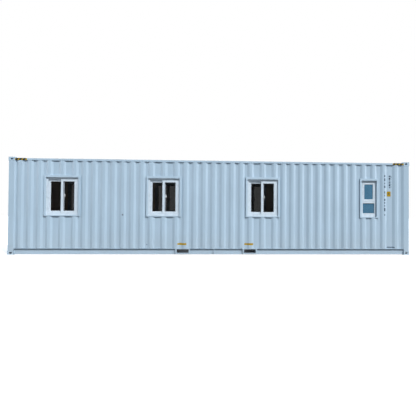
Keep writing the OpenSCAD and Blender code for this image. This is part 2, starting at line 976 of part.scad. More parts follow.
// The plate in its own valley, beside the narrow window
module data_plate() {
    plate_w = 120;
    plate_h = 160;
    plate_t = 2;
    plate_z = height - 1001;
    x = plate_valley + wave_slope + plate_flat / 2 - 20;
    color("goldenrod")
        side_box([x - plate_w / 2, x + plate_w / 2], [valley_d - fit - plate_t, valley_d - fit],
                 [plate_z - plate_h / 2, plate_z + plate_h / 2]);
}

bottom_corner_castings();
top_corner_castings();
door_end_posts();
closed_end_posts();
front_top_rail();
back_top_rail();
front_bottom_rail();
back_bottom_rail();
door_header();
door_sill();
closed_end_header();
closed_end_sill();
front_wall();
back_wall();
closed_end_wall();
roof();
corner_plates();
cross_members();
fork_pockets();
floor();
front_lining();
back_lining();
closed_end_lining();
ceiling();
front_window_surrounds();
back_window_surrounds();
front_window_frames();
back_window_frames();
outer_sashes();
inner_sashes();
vent_sashes();
clear_panes();
frosted_panes();
window_latches();
left_cargo_door();
right_cargo_door();
door_seals();
locking_bars();
bar_keepers();
bar_guides();
door_handles();
door_hinges();
outlet_caps();
data_plate();
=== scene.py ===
"""Looks of a shipping container cabin: a painted corrugated steel container
with sliding windows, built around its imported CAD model. Metres, +Z up, with the
long front side facing -Y and the cargo doors facing -X.
"""
import logging
import math
from collections.abc import Sequence
from dataclasses import dataclass, field
from enum import Enum

import bmesh
import bpy
import numpy as np
from mathutils import Matrix, Vector
from mathutils.bvhtree import BVHTree


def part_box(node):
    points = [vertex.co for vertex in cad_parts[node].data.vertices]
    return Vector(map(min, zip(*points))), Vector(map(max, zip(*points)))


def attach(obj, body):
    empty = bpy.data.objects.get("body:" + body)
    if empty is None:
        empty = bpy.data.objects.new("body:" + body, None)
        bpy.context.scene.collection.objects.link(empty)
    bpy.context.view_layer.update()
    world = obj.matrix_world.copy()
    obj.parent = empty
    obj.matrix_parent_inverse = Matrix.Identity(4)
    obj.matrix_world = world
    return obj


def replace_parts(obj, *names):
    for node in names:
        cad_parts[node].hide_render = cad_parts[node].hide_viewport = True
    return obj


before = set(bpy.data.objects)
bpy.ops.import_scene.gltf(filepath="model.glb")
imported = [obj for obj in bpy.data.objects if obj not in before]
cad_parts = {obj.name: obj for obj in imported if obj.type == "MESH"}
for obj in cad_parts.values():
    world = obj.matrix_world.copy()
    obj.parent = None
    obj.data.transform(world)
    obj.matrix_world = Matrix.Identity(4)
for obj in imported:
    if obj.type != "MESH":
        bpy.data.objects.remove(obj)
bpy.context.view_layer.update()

LOG = logging.getLogger("cabin")
MM = 0.001
ROOT = "root"
FIT = 0.3 * MM
MERGE_DISTANCE = 0.01 * MM
FLAT_ANGLE = math.radians(0.6)
EDGE_ANGLE = math.radians(38)
HEAD_TAPER = 0.72

Form = bmesh.types.BMesh
Material = bpy.types.Material
Mesh = bpy.types.Mesh
Piece = bpy.types.Object
Socket = bpy.types.NodeSocket
Colour = tuple[float, float, float]
Value = Socket | float | Sequence[float]
Rect = tuple[float, float, float, float]
Corners = tuple[Vector, Vector]


class Slot(Enum):
    """Names of material slots."""

    BODY = "body_paint"
    CASTING = "casting_paint"
    SURROUND = "surround_paint"
    BASE = "base_paint"
    PLASTIC = "white_plastic"
    CLEAR = "clear_glass"
    LATCH = "latch_metal"
    RUBBER = "seal_rubber"
    ZINC = "galvanised_steel"
    CAP = "cap_plastic"
    PLATE = "plate_paint"


class Side(Enum):
    """A long side, by the sign of the Y direction that it faces."""

    FRONT = -1
    BACK = 1

    @property
    def word(self) -> str:
        """The side's name in lower case, as the CAD nodes have it."""
        return self.name.lower()


# ---- Materials ------------------------------------------------------------


class Brush:
    """Puts one procedural material together, a node at a time."""

    def __init__(self, name: str) -> None:
        """Start a material with a Principled shader.

        Args:
            name: Name of the new material.
        """
        self.material = bpy.data.materials.new(name)
        self.material.use_nodes = True
        self.tree = self.material.node_tree
        self.tree.nodes.clear()
        output = self.tree.nodes.new("ShaderNodeOutputMaterial")
        self.shader = self.tree.nodes.new("ShaderNodeBsdfPrincipled")
        self.tree.links.new(self.shader.outputs["BSDF"], output.inputs["Surface"])
        self.place = self.tree.nodes.new("ShaderNodeTexCoord").outputs["Object"]

    def feed(self, socket: Socket, value: Value) -> None:
        """Link a socket to another one, or set its value.

        Args:
            socket: The input to fill.
            value: An output socket, or the value itself.
        """
        if isinstance(value, Socket):
            self.tree.links.new(value, socket)
        else:
            socket.default_value = value

    def surface(self, **values: Value) -> None:
        """Fill the shader's inputs.

        Args:
            values: Input names with spaces as underscores, and their values.
        """
        for name, value in values.items():
            self.feed(self.shader.inputs[name.replace("_", " ")], value)

    def stretched(self, scale: Colour) -> Socket:
        """Return the object's coordinates, scaled along each axis.

        Args:
            scale: Scale along X, Y and Z.

        Returns:
            The scaled coordinates.
        """
        node = self.tree.nodes.new("ShaderNodeMapping")
        self.feed(node.inputs["Vector"], self.place)
        node.inputs["Scale"].default_value = scale
        return node.outputs["Vector"]

    def noise(self, scale: float, detail: float = 3.0, stretch: Colour = (1, 1, 1)) -> Socket:
        """Return a noise pattern from 0 to 1.

        Args:
            scale: Number of waves in a metre.
            detail: Octaves of finer detail.
            stretch: Scale along each axis before the noise is read.

        Returns:
            The noise value.
        """
        node = self.tree.nodes.new("ShaderNodeTexNoise")
        self.feed(node.inputs["Vector"], self.stretched(stretch))
        node.inputs["Scale"].default_value = scale
        node.inputs["Detail"].default_value = detail
        return node.outputs["Fac"]

    def cells(self, scale: float, stretch: Colour = (1, 1, 1)) -> tuple[Socket, Socket]:
        """Return a cell pattern.

        Args:
            scale: Number of cells in a metre.
            stretch: Scale along each axis before the cells are read.

        Returns:
            The distance to the nearest point, and a random colour for each cell.
        """
        node = self.tree.nodes.new("ShaderNodeTexVoronoi")
        self.feed(node.inputs["Vector"], self.stretched(stretch))
        node.inputs["Scale"].default_value = scale
        return node.outputs["Distance"], node.outputs["Color"]

    def joints(self, vector: Socket, length: float, height: float, gap: float) -> Socket:
        """Return 1 in the joints between boards and 0 on the boards.

        Args:
            vector: Coordinates whose X runs along the boards and Y across them.
            length: Length of a board.
            height: Width of a board.
            gap: Width of a joint.

        Returns:
            The joint mask.
        """
        node = self.tree.nodes.new("ShaderNodeTexBrick")
        self.feed(node.inputs["Vector"], vector)
        for name, value in (("Scale", 1.0), ("Mortar Size", gap), ("Mortar Smooth", 0.2),
                            ("Brick Width", length), ("Row Height", height)):
            node.inputs[name].default_value = value
        return node.outputs["Fac"]

    def axes(self) -> tuple[Socket, Socket, Socket]:
        """Split the object's coordinates.

        Returns:
            X, Y and Z as single values.
        """
        node = self.tree.nodes.new("ShaderNodeSeparateXYZ")
        self.feed(node.inputs["Vector"], self.place)
        return node.outputs["X"], node.outputs["Y"], node.outputs["Z"]

    def vector(self, x: Socket | float, y: Socket | float, z: Socket | float) -> Socket:
        """Return a vector of three values.

        Args:
            x: First value.
            y: Second value.
            z: Third value.

        Returns:
            The vector.
        """
        node = self.tree.nodes.new("ShaderNodeCombineXYZ")
        for socket, value in zip(node.inputs, (x, y, z)):
            self.feed(socket, value)
        return node.outputs["Vector"]

    def span(self, value: Socket, low: float, high: float, to: tuple[float, float] = (0, 1)) -> Socket:
        """Return a value moved from one range to another and held inside it.

        Args:
            value: The value to move.
            low: Low end of the range that it comes from.
            high: High end of that range.
            to: The range that it goes to.

        Returns:
            The moved value.
        """
        node = self.tree.nodes.new("ShaderNodeMapRange")
        self.feed(node.inputs["Value"], value)
        for name, number in (("From Min", low), ("From Max", high), ("To Min", to[0]), ("To Max", to[1])):
            node.inputs[name].default_value = number
        return node.outputs["Result"]

    def calc(self, operation: str, a: Socket | float, b: Socket | float) -> Socket:
        """Return the result of one arithmetic step.

        Args:
            operation: A Math node's operation.
            a: First value.
            b: Second value.

        Returns:
            The result.
        """
        node = self.tree.nodes.new("ShaderNodeMath")
        node.operation = operation
        self.feed(node.inputs[0], a)
        self.feed(node.inputs[1], b)
        return node.outputs["Value"]

    def blend(self, factor: Socket | float, a: Socket | Colour, b: Socket | Colour) -> Socket:
        """Return a colour between two colours.

        Args:
            factor: Share of the second colour.
            a: First colour.
            b: Second colour.

        Returns:
            The mixed colour.
        """
        node = self.tree.nodes.new("ShaderNodeMix")
        node.data_type = "RGBA"
        by_type = [s for s in node.inputs if s.type == "RGBA"]
        self.feed(node.inputs[0], factor)
        for socket, value in zip(by_type, (a, b)):
            self.feed(socket, value if isinstance(value, Socket) else (*value, 1.0))
        return next(s for s in node.outputs if s.type == "RGBA")

    def bump(self, *layers: tuple[Socket, float, float]) -> Socket:
        """Return a normal that several heights have disturbed in turn.

        Args:
            layers: The height, strength and depth in metres of each layer.

        Returns:
            The disturbed normal.
        """
        normal = None
        for height, strength, depth in layers:
            node = self.tree.nodes.new("ShaderNodeBump")
            self.feed(node.inputs["Height"], height)
            node.inputs["Strength"].default_value = strength
            node.inputs["Distance"].default_value = depth
            if normal is not None:
                self.feed(node.inputs["Normal"], normal)
            normal = node.outputs["Normal"]
        return normal


def shade(colour: Colour, share: float) -> Colour:
    """Return a colour made lighter or darker by a factor."""
    return tuple(min(1.0, c * share) for c in colour)


@dataclass(frozen=True)
class PaintedSteel:
    """Sprayed steel: faint streaks and dust, orange peel and a few rust specks."""

    name: str
    colour: Colour
    rough: float = 0.42
    dust: float = 0.2
    rust: float = 0.5
    grain: float = 0.15
    sag: float = 0.25
    coat: float = 0.6

    def build(self) -> Material:
        """Build the material.

        Returns:
            The finished material.
        """
        b = Brush(self.name)
        patches = b.span(b.noise(0.9, 4.0), 0.3, 0.7)
        colour = b.blend(patches, shade(self.colour, 0.955), shade(self.colour, 1.035))
        streaks = b.span(b.noise(1.0, 5.0, (11.0, 11.0, 0.4)), 0.42, 0.75)
        colour = b.blend(b.calc("MULTIPLY", streaks, 0.3), colour, shade(self.colour, 0.84))
        foot = b.span(b.axes()[2], 0.15, 0.8, (1, 0))
        dust = b.calc("MULTIPLY", b.calc("MULTIPLY", foot, b.noise(6.0, 5.0)), self.dust)
        colour = b.blend(dust, colour, (0.36, 0.33, 0.28))
        specks = b.calc("MULTIPLY", b.span(b.noise(42.0, 3.0), 0.73, 0.77),
                        b.span(b.noise(1.7, 2.0), 0.55, 0.68))
        colour = b.blend(b.calc("MULTIPLY", specks, self.rust), colour, (0.21, 0.09, 0.04))
        rough = b.span(b.noise(14.0, 4.0), 0.3, 0.7, (self.rough - 0.07, self.rough + 0.09))
        b.surface(
            Base_Color=colour, Roughness=b.calc("ADD", rough, b.calc("MULTIPLY", specks, 0.2)),
            Coat_Weight=self.coat, Coat_Roughness=0.16,
            Normal=b.bump((b.noise(2.6, 1.0), self.sag, 8 * MM), (b.noise(260.0, 2.0), self.grain, 0.6 * MM)),
        )
        return b.material


@dataclass(frozen=True)
class WeldedSteel:
    """A painted weld bead, with the ripple of the weld under the paint."""

    name: str
    colour: Colour

    def build(self) -> Material:
        """Build the material.

        Returns:
            The finished material.
        """
        b = Brush(self.name)
        ripple = b.noise(170.0, 1.0)
        tone = b.blend(b.noise(20.0, 3.0), shade(self.colour, 0.85), self.colour)
        b.surface(Base_Color=tone, Roughness=b.span(ripple, 0.3, 0.7, (0.4, 0.6)),
                  Normal=b.bump((ripple, 0.8, 2 * MM)))
        return b.material


@dataclass(frozen=True)
class Zinc:
    """Galvanised or bright metal with a spangle and dull handling marks."""

    name: str
    colour: Colour
    rough: float
    metal: float
    spangle: float = 90.0

    def build(self) -> Material:
        """Build the material.

        Returns:
            The finished material.
        """
        b = Brush(self.name)
        _, tint = b.cells(self.spangle)
        value = b.noise(30.0, 4.0)
        colour = b.blend(b.span(tint, 0.2, 0.8), shade(self.colour, 0.8), shade(self.colour, 1.1))
        colour = b.blend(b.span(value, 0.55, 0.75, (0, 0.35)), colour, shade(self.colour, 0.55))
        b.surface(Base_Color=colour, Metallic=self.metal,
                  Roughness=b.span(value, 0.3, 0.7, (self.rough - 0.08, self.rough + 0.12)),
                  Normal=b.bump((b.noise(400.0, 2.0), 0.15, 0.4 * MM)))
        return b.material


@dataclass(frozen=True)
class Plywood:
    """Sealed floor plywood: long grain, board joints and scuffed paths."""

    name: str = "floor_plywood"
    light: Colour = (0.30, 0.17, 0.085)
    dark: Colour = (0.13, 0.065, 0.03)

    def build(self) -> Material:
        """Build the material.

        Returns:
            The finished material.
        """
        b = Brush(self.name)
        x, y, _ = b.axes()
        grain = b.noise(3.0, 9.0, (0.8, 26.0, 26.0))
        pores = b.noise(60.0, 3.0, (0.6, 9.0, 9.0))
        colour = b.blend(b.span(grain, 0.3, 0.7), self.dark, self.light)
        colour = b.blend(b.span(pores, 0.58, 0.7, (0, 0.5)), colour, shade(self.dark, 0.6))
        scuffs = b.span(b.noise(5.0, 6.0), 0.55, 0.75, (0, 0.35))
        colour = b.blend(scuffs, colour, (0.34, 0.29, 0.24))
        joints = b.joints(b.vector(x, y, 0.0), 2.44, 0.5, 3 * MM)
        colour = b.blend(joints, colour, (0.02, 0.015, 0.01))
        b.surface(Base_Color=colour, Roughness=b.span(grain, 0.3, 0.7, (0.42, 0.65)),
                  Normal=b.bump((b.calc("SUBTRACT", 1.0, joints), 0.8, 2 * MM), (pores, 0.25, 0.5 * MM)))
        return b.material


@dataclass(frozen=True)
class LiningBoard:
    """Off-white lining panels with narrow upright joints and a fine emboss."""

    name: str = "lining_panels"
    colour: Colour = (0.72, 0.71, 0.66)
    panel: float = 1.15

    def build(self) -> Material:
        """Build the material.

        Returns:
            The finished material.
        """
        b = Brush(self.name)
        x, y, z = b.axes()
        seams = b.joints(b.vector(b.calc("ADD", x, y), z, 0.0), self.panel, 40.0, 4 * MM)
        colour = b.blend(b.noise(2.0, 4.0), shade(self.colour, 0.93), self.colour)
        colour = b.blend(seams, colour, shade(self.colour, 0.35))
        emboss = b.noise(300.0, 2.0)
        b.surface(Base_Color=colour, Roughness=b.span(emboss, 0.3, 0.7, (0.4, 0.56)),
                  Normal=b.bump((emboss, 0.2, 0.5 * MM), (b.calc("SUBTRACT", 1.0, seams), 0.6, 2 * MM)))
        return b.material


@dataclass(frozen=True)
class Moulded:
    """Extruded or moulded plastic and rubber: fine mottling and a faint haze of dust."""

    name: str
    colour: Colour
    rough: float = 0.34
    dust: float = 0.12
    grain: float = 500.0

    def build(self) -> Material:
        """Build the material.

        Returns:
            The finished material.
        """
        b = Brush(self.name)
        mottle = b.noise(9.0, 5.0)
        colour = b.blend(b.span(mottle, 0.3, 0.7), shade(self.colour, 0.94), shade(self.colour, 1.03))
        haze = b.calc("MULTIPLY", b.span(b.noise(22.0, 6.0, (1.0, 1.0, 0.5)), 0.5, 0.8), self.dust)
        colour = b.blend(haze, colour, (0.30, 0.29, 0.27))
        b.surface(Base_Color=colour,
                  Roughness=b.span(mottle, 0.3, 0.7, (self.rough - 0.06, self.rough + 0.08)),
                  Normal=b.bump((b.noise(self.grain, 2.0), 0.12, 0.3 * MM)))
        return b.material


@dataclass(frozen=True)
class WindowGlass:
    """Float glass, clear or nearly black, with faint smears of dust; the nearly black kind is painted shade.
    """

    name: str
    cover: float
    colour: Colour = (0.004, 0.005, 0.006)

    def build(self) -> Material:
        """Build the material.

        Returns:
            The finished material.
        """
        b = Brush(self.name)
        smear = b.noise(3.0, 6.0, (1.0, 1.0, 2.0))
        colour = b.blend(b.span(smear, 0.5, 0.85, (0, 0.12)), self.colour, (0.05, 0.055, 0.06))
        b.surface(Base_Color=colour, Roughness=b.span(smear, 0.3, 0.8, (0.02, 0.1)), Alpha=self.cover,
                  Specular_IOR_Level=0.14, Normal=b.bump((b.noise(1.6, 1.0), 0.05, 2 * MM)))
        return b.material


@dataclass(frozen=True)
class FrostedGlass:
    """Hammered obscure glass drawn opaque: a blue-green tint with the dim room behind it painted in as shade.
    """

    name: str = "frosted_glass_painted_shade"
    # Blue-green tint darkened by the dim room behind the pane, painted in as shade.
    colour: Colour = (0.05, 0.135, 0.215)

    def build(self) -> Material:
        """Build the material.

        Returns:
            The finished material.
        """
        b = Brush(self.name)
        distance, tint = b.cells(140.0)
        colour = b.blend(b.span(tint, 0.0, 1.0, (0, 0.5)), self.colour, shade(self.colour, 1.35))
        colour = b.blend(b.span(b.noise(4.0, 4.0), 0.35, 0.7, (0, 0.4)), colour, shade(self.colour, 0.7))
        b.surface(Base_Color=colour, Roughness=b.span(distance, 0.0, 0.6, (0.16, 0.3)),
                  Specular_IOR_Level=0.4, Normal=b.bump((distance, 0.35, 1.2 * MM)))
        return b.material


@dataclass(frozen=True)
class Vinyl:
    """Printed film: nearly even, with faded patches and worn specks of what is under it."""

    name: str
    colour: Colour
    under: Colour
    fade: float = 0.25

    def build(self) -> Material:
        """Build the material.

        Returns:
            The finished material.
        """
        b = Brush(self.name)
        faded = b.span(b.noise(12.0, 4.0), 0.35, 0.75, (0, self.fade))
        colour = b.blend(faded, self.colour, self.under)
        worn = b.span(b.noise(150.0, 3.0), 0.66, 0.72, (0, 0.6))
        b.surface(Base_Color=b.blend(worn, colour, self.under),
                  Roughness=b.span(b.noise(40.0, 3.0), 0.3, 0.7, (0.38, 0.55)), Specular_IOR_Level=0.2,
                  Normal=b.bump((b.noise(90.0, 2.0), 0.1, 0.4 * MM)))
        return b.material


BODY_BLUE = (0.325, 0.433, 0.528)
SURROUND_BLUE = (0.355, 0.465, 0.56)
DEEP_BLUE = (0.008, 0.018, 0.045)


@dataclass
class Finishes:
    """Every finish of the cabin, each built once."""

    body: Material = field(init=False)
    casting: Material = field(init=False)
    surround: Material = field(init=False)
    base: Material = field(init=False)
    weld: Material = field(init=False)
    plywood: Material = field(init=False)
    lining: Material = field(init=False)
    plastic: Material = field(init=False)
    sealant: Material = field(init=False)
    clear: Material = field(init=False)
    film: Material = field(init=False)
    frosted: Material = field(init=False)
    latch: Material = field(init=False)
    rubber: Material = field(init=False)
    zinc: Material = field(init=False)
    cap: Material = field(init=False)
    yellow: Material = field(init=False)
    black: Material = field(init=False)
    ink: Material = field(init=False)
    pale_ink: Material = field(init=False)

    def __post_init__(self) -> None:
        """Build the materials."""
        self.body = PaintedSteel("body_blue_paint", BODY_BLUE).build()
        self.casting = PaintedSteel("casting_blue_paint", shade(BODY_BLUE, 1.04),
                                    rough=0.5, dust=0.25, rust=0.9, grain=0.5).build()
        self.surround = PaintedSteel("surround_paint_pale", SURROUND_BLUE,
                                     rough=0.4, dust=0.05, rust=0.2).build()
        self.base = PaintedSteel("base_coating", (0.055, 0.06, 0.065),
                                 rough=0.62, dust=0.5, rust=0.8, grain=0.5).build()
        self.weld = WeldedSteel("weld_bead", BODY_BLUE).build()
        self.plywood = Plywood().build()
        self.lining = LiningBoard().build()
        self.plastic = Moulded("window_plastic", (0.49, 0.57, 0.64), rough=0.3, dust=0.08).build()
        self.sealant = Moulded("sealant_bead", (0.52, 0.57, 0.62), rough=0.5, dust=0.2, grain=200.0).build()
        self.clear = WindowGlass("clear_window_glass", cover=0.1).build()
        # Nearly black back panes are painted shade: they shut out the light and the view through the back
        # windows, so the room seen through the front panes stays dark.
        self.film = WindowGlass("back_glass_painted_shade", cover=0.8).build()
        self.frosted = FrostedGlass().build()
        self.latch = Zinc("latch_chrome", (0.86, 0.87, 0.88), rough=0.28, metal=0.25, spangle=30.0).build()
        self.rubber = Moulded("black_rubber", (0.018, 0.018, 0.02), rough=0.6, dust=0.35, grain=250.0).build()
        self.zinc = Zinc("zinc_plating", (0.56, 0.59, 0.62), rough=0.42, metal=0.85).build()
        self.cap = Moulded("cap_grey_plastic", (0.11, 0.14, 0.19), rough=0.45, dust=0.3).build()
        self.yellow = Vinyl("yellow_film", (0.32, 0.21, 0.004), (0.27, 0.19, 0.03), fade=0.15).build()
        self.black = Vinyl("black_film", (0.010, 0.010, 0.012), (0.05, 0.05, 0.05), fade=0.15).build()
        self.ink = Vinyl("blue_black_film", DEEP_BLUE, BODY_BLUE, fade=0.1).build()
        self.pale_ink = Vinyl("faded_blue_film", shade(BODY_BLUE, 0.25), BODY_BLUE, fade=0.3).build()


# ---- Meshes ---------------------------------------------------------------


def add_piece(name: str, mesh: Mesh, finish: Material | None) -> Piece:
    """Put a finished mesh on the body.

    Args:
        name: Name of the piece.
        mesh: Its mesh, in the frame's place.
        finish: Its material, or None where the mesh has it already.

    Returns:
        The new object.
    """
    if finish is not None:
        mesh.materials.clear()
        mesh.materials.append(finish)
    piece = bpy.data.objects.new(name, mesh)
    bpy.context.scene.collection.objects.link(piece)
    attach(piece, ROOT)
    LOG.info("%s: %d faces", name, len(mesh.polygons))
    return piece


def mesh_of(name: str, form: Form, smooth: bool = False) -> Mesh:
    """Turn a bmesh into a mesh with outward faces and free the bmesh.

    Args:
        name: Name of the mesh.
        form: The bmesh.
        smooth: Whether its faces are shaded smooth.

    Returns:
        The mesh.
    """
    bmesh.ops.recalc_face_normals(form, faces=form.faces)
    for face in form.faces:
        face.smooth = smooth
    mesh = bpy.data.meshes.new(name)
    form.to_mesh(mesh)
    form.free()
    return mesh


def merged(node: str) -> Form:
    """Return a CAD node's mesh as a bmesh with its doubles merged.

    Args:
        node: Name of the node.

    Returns:
        The bmesh.
    """
    form = bmesh.new()
    form.from_mesh(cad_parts[node].data)
    bmesh.ops.remove_doubles(form, verts=form.verts, dist=MERGE_DISTANCE)
    return form


def solids(node: str) -> list[Corners]:
    """Return the box of each solid of a CAD node.

    Args:
        node: Name of the node.

    Returns:
        The lowest and highest corner of each solid, sorted by place.
    """
    form = merged(node)
    form.verts.ensure_lookup_table()
    left, found = set(form.verts), []
    while left:
        todo, members = [next(iter(left))], set()
        while todo:
            vert = todo.pop()
            if vert in members:
                continue
            members.add(vert)
            todo += [edge.other_vert(vert) for edge in vert.link_edges]
        left -= members
        places = np.array([v.co for v in members])
        found.append((Vector(places.min(0)), Vector(places.max(0))))
    form.free()
    return sorted(found, key=lambda c: tuple(round(x, 4) for x in (*c[0], *c[1])))


def on_side(boxes: list[Corners], side: Side) -> list[Corners]:
    """Return the boxes that lie on one long side."""
    return [box for box in boxes if (box[0].y + box[1].y) * side.value > 0]


def add_box(form: Form, low: Vector, high: Vector) -> None:
    """Add a box to a bmesh.

    Args:
        form: The bmesh.
        low: Lowest corner.
        high: Highest corner.
    """
    size = Vector(high) - Vector(low)
    place = Matrix.Translation((Vector(low) + Vector(high)) / 2) @ Matrix.Diagonal((*size, 1.0))
    bmesh.ops.create_cube(form, size=1.0, matrix=place)


def add_ring(form: Form, loops: list[list[Vector]]) -> None:
    """Add a closed skin through loops of corners, the last one joined to the first.

    Args:
        form: The bmesh.
        loops: Loops with the same number of corners.
    """
    rows = [[form.verts.new(point) for point in loop] for loop in loops]
    for one, two in zip(rows, rows[1:] + rows[:1]):
        for i in range(len(one)):
            k = (i + 1) % len(one)
            form.faces.new((one[i], one[k], two[k], two[i]))


def rectangle(rect: Rect, grow: float, y: float) -> list[Vector]:
    """Return the corners of an upright rectangle.

    Args:
        rect: Its extent in X and Z.
        grow: How far its sides are moved out.
        y: The Y that it stands at.

    Returns:
        The corners in turn.
    """
    x0, x1, z0, z1 = rect
    return [Vector((x0 - grow, y, z0 - grow)), Vector((x1 + grow, y, z0 - grow)),
            Vector((x1 + grow, y, z1 + grow)), Vector((x0 - grow, y, z1 + grow))]


def rect_of(box: Corners) -> Rect:
    """Return a box's extent in X and Z."""
    return box[0].x, box[1].x, box[0].z, box[1].z


@dataclass(frozen=True)
class Moulding:
    """A mitred ring of one profile between an outer and an inner rectangle.

    A profile point is the edge that it is measured from, the distance from that
    edge towards the other one, and the depth from the face.
    """

    points: tuple[tuple[str, float, float], ...]

    def add(self, form: Form, outer: Rect, inner: Rect, face_y: float, inward: int) -> None:
        """Add the ring to a bmesh.

        Args:
            form: The bmesh.
            outer: Outer rectangle.
            inner: Inner rectangle.
            face_y: Y of the face that depths start from.
            inward: Sign of the Y direction in which depths grow.
        """
        loops = []
        for edge, distance, depth in self.points:
            y = face_y + inward * depth
            loops.append(rectangle(outer, -distance, y) if edge == "outer" else rectangle(inner, distance, y))
        add_ring(form, loops)


def lines(loops: list[list[Vector]], closed: bool = True) -> Mesh:
    """Return a mesh of edges only.

    Args:
        loops: The points of each line.
        closed: Whether each line runs back to its start.

    Returns:
        The mesh.
    """
    points, edges = [], []
    for loop in loops:
        first = len(points)
        points += [tuple(p) for p in loop]
        edges += [(first + i, first + i + 1) for i in range(len(loop) - 1)]
        if closed:
            edges.append((first + len(loop) - 1, first))
    mesh = bpy.data.meshes.new("lines")
    mesh.from_pydata(points, edges, [])
    return mesh


# ---- Geometry Nodes -------------------------------------------------------


class Grower:
    """A Geometry Nodes tree with named inputs, and the mesh that it grows."""

    def __init__(self, name: str) -> None:
        """Start a tree.

        Args:
            name: Name of the node group.
        """
        self.tree = bpy.data.node_groups.new(name, "GeometryNodeTree")
        self.tree.interface.new_socket("Geometry", in_out="INPUT", socket_type="NodeSocketGeometry")
        self.tree.interface.new_socket("Geometry", in_out="OUTPUT", socket_type="NodeSocketGeometry")
        self.inputs = self.tree.nodes.new("NodeGroupInput")
        self.output = self.tree.nodes.new("NodeGroupOutput")

    def ask(self, name: str, kind: str) -> Socket:
        """Add a named input of one kind, such as Float, and return its socket."""
        self.tree.interface.new_socket(name, in_out="INPUT", socket_type="NodeSocket" + kind)
        return self.inputs.outputs[name]

    def node(self, kind: str, **inputs: Value) -> bpy.types.Node:
        """Add a node and fill its inputs.

        Args:
            kind: The node's type.
            inputs: Input names with spaces as underscores, and their values.

        Returns:
            The node.
        """
        made = self.tree.nodes.new(kind)
        for name, value in inputs.items():
            socket = made.inputs[name.replace("_", " ")]
            if isinstance(value, Socket):
                self.tree.links.new(value, socket)
            else:
                socket.default_value = value
        return made

    def close(self, geometry: Socket, finish: Socket) -> None:
        """End the tree: make instances real and give them their material.

        Args:
            geometry: What the tree made.
            finish: The material input.
        """
        real = self.node("GeometryNodeRealizeInstances", Geometry=geometry)
        dressed = self.node("GeometryNodeSetMaterial", Geometry=real.outputs[0], Material=finish)
        self.tree.links.new(dressed.outputs[0], self.output.inputs[0])

    def grow(self, name: str, seedbed: Mesh, slot: Slot, **values: object) -> Piece:
        """Run the tree on a mesh and keep the result as a piece.

        Args:
            name: Name of the piece.
            seedbed: The mesh that the tree works on.
            slot: Not used.
            values: The named inputs, with spaces as underscores.

        Returns:
            The piece.
        """
        host = bpy.data.objects.new(name + "_host", seedbed)
        bpy.context.scene.collection.objects.link(host)
        modifier = host.modifiers.new("grow", "NODES")
        modifier.node_group = self.tree
        names = {i.name: i.identifier for i in self.tree.interface.items_tree if i.in_out == "INPUT"}
        for key, value in values.items():
            modifier[names[key.replace("_", " ")]] = value
        host.update_tag()
        graph = bpy.context.evaluated_depsgraph_get()
        mesh = bpy.data.meshes.new_from_object(host.evaluated_get(graph), depsgraph=graph)
        mesh.name = name
        bpy.data.objects.remove(host)
        return add_piece(name, mesh, None)


def bead_grower() -> Grower:
    """Build a tree that sweeps a round bead along the edges of a mesh.

    Returns:
        The tree, with the inputs Radius, Sides and Finish.
    """
    g = Grower("bead_along_edges")
    radius, sides, finish = g.ask("Radius", "Float"), g.ask("Sides", "Int"), g.ask("Finish", "Material")
    curve = g.node("GeometryNodeMeshToCurve", Mesh=g.inputs.outputs[0])
    ring = g.node("GeometryNodeCurvePrimitiveCircle", Radius=radius, Resolution=sides)
    skin = g.node("GeometryNodeCurveToMesh", Curve=curve.outputs[0], Profile_Curve=ring.outputs[0],
                  Fill_Caps=True)
    g.close(skin.outputs[0], finish)
    return g


def fastener_grower() -> Grower:
    """Build a tree that sets a chamfered head on each vertex, turned at random.

    Returns:
        The tree, with the inputs Radius, Height, Sides, Tilt, Seed and Finish.
    """
    g = Grower("heads_on_points")
    radius, height = g.ask("Radius", "Float"), g.ask("Height", "Float")
    sides, tilt = g.ask("Sides", "Int"), g.ask("Tilt", "Vector")
    seed, finish = g.ask("Seed", "Int"), g.ask("Finish", "Material")
    top = g.node("ShaderNodeMath")
    top.operation = "MULTIPLY"
    g.tree.links.new(radius, top.inputs[0])
    top.inputs[1].default_value = HEAD_TAPER
    head = g.node("GeometryNodeMeshCone", Vertices=sides, Radius_Bottom=radius,
                  Radius_Top=top.outputs[0], Depth=height)
    spin = g.node("FunctionNodeRandomValue", Seed=seed)
    spin.inputs["Max"].default_value = math.tau
    about = g.node("ShaderNodeCombineXYZ", Z=spin.outputs[1])
    turn = g.node("FunctionNodeEulerToRotation", Euler=tilt)
    twist = g.node("FunctionNodeEulerToRotation", Euler=about.outputs[0])
    both = g.node("FunctionNodeRotateRotation", Rotation=turn.outputs[0], Rotate_By=twist.outputs[0])
    both.rotation_space = "LOCAL"
    placed = g.node("GeometryNodeInstanceOnPoints", Points=g.inputs.outputs[0],
                    Instance=head.outputs[0], Rotation=both.outputs[0])
    g.close(placed.outputs[0], finish)
    return g


def slanted_grower() -> Grower:
    """Build a tree that sets a row of slanted bars from each vertex along +X.

    Returns:
        The tree, with the inputs Count, Pitch, Size, Lean and Finish.
    """
    g = Grower("slanted_bars")
    count, pitch = g.ask("Count", "Int"), g.ask("Pitch", "Float")
    size, lean = g.ask("Size", "Vector"), g.ask("Lean", "Float")
    finish = g.ask("Finish", "Material")
    step = g.node("ShaderNodeCombineXYZ", X=pitch)
    row = g.node("GeometryNodeMeshLine", Count=count, Offset=step.outputs[0])
    bar = g.node("GeometryNodeMeshCube", Size=size)
    height = g.node("ShaderNodeSeparateXYZ", Vector=g.node("GeometryNodeInputPosition").outputs[0])
    slide = g.node("ShaderNodeMath")
    slide.operation = "MULTIPLY"
    g.tree.links.new(height.outputs["Z"], slide.inputs[0])
    g.tree.links.new(lean, slide.inputs[1])
    shift = g.node("ShaderNodeCombineXYZ", X=slide.outputs[0])
    slanted = g.node("GeometryNodeSetPosition", Geometry=bar.outputs[0], Offset=shift.outputs[0])
    bars = g.node("GeometryNodeInstanceOnPoints", Points=row.outputs[0], Instance=slanted.outputs[0])
    rows = g.node("GeometryNodeInstanceOnPoints", Points=g.inputs.outputs[0], Instance=bars.outputs[0])
    g.close(rows.outputs[0], finish)
    return g


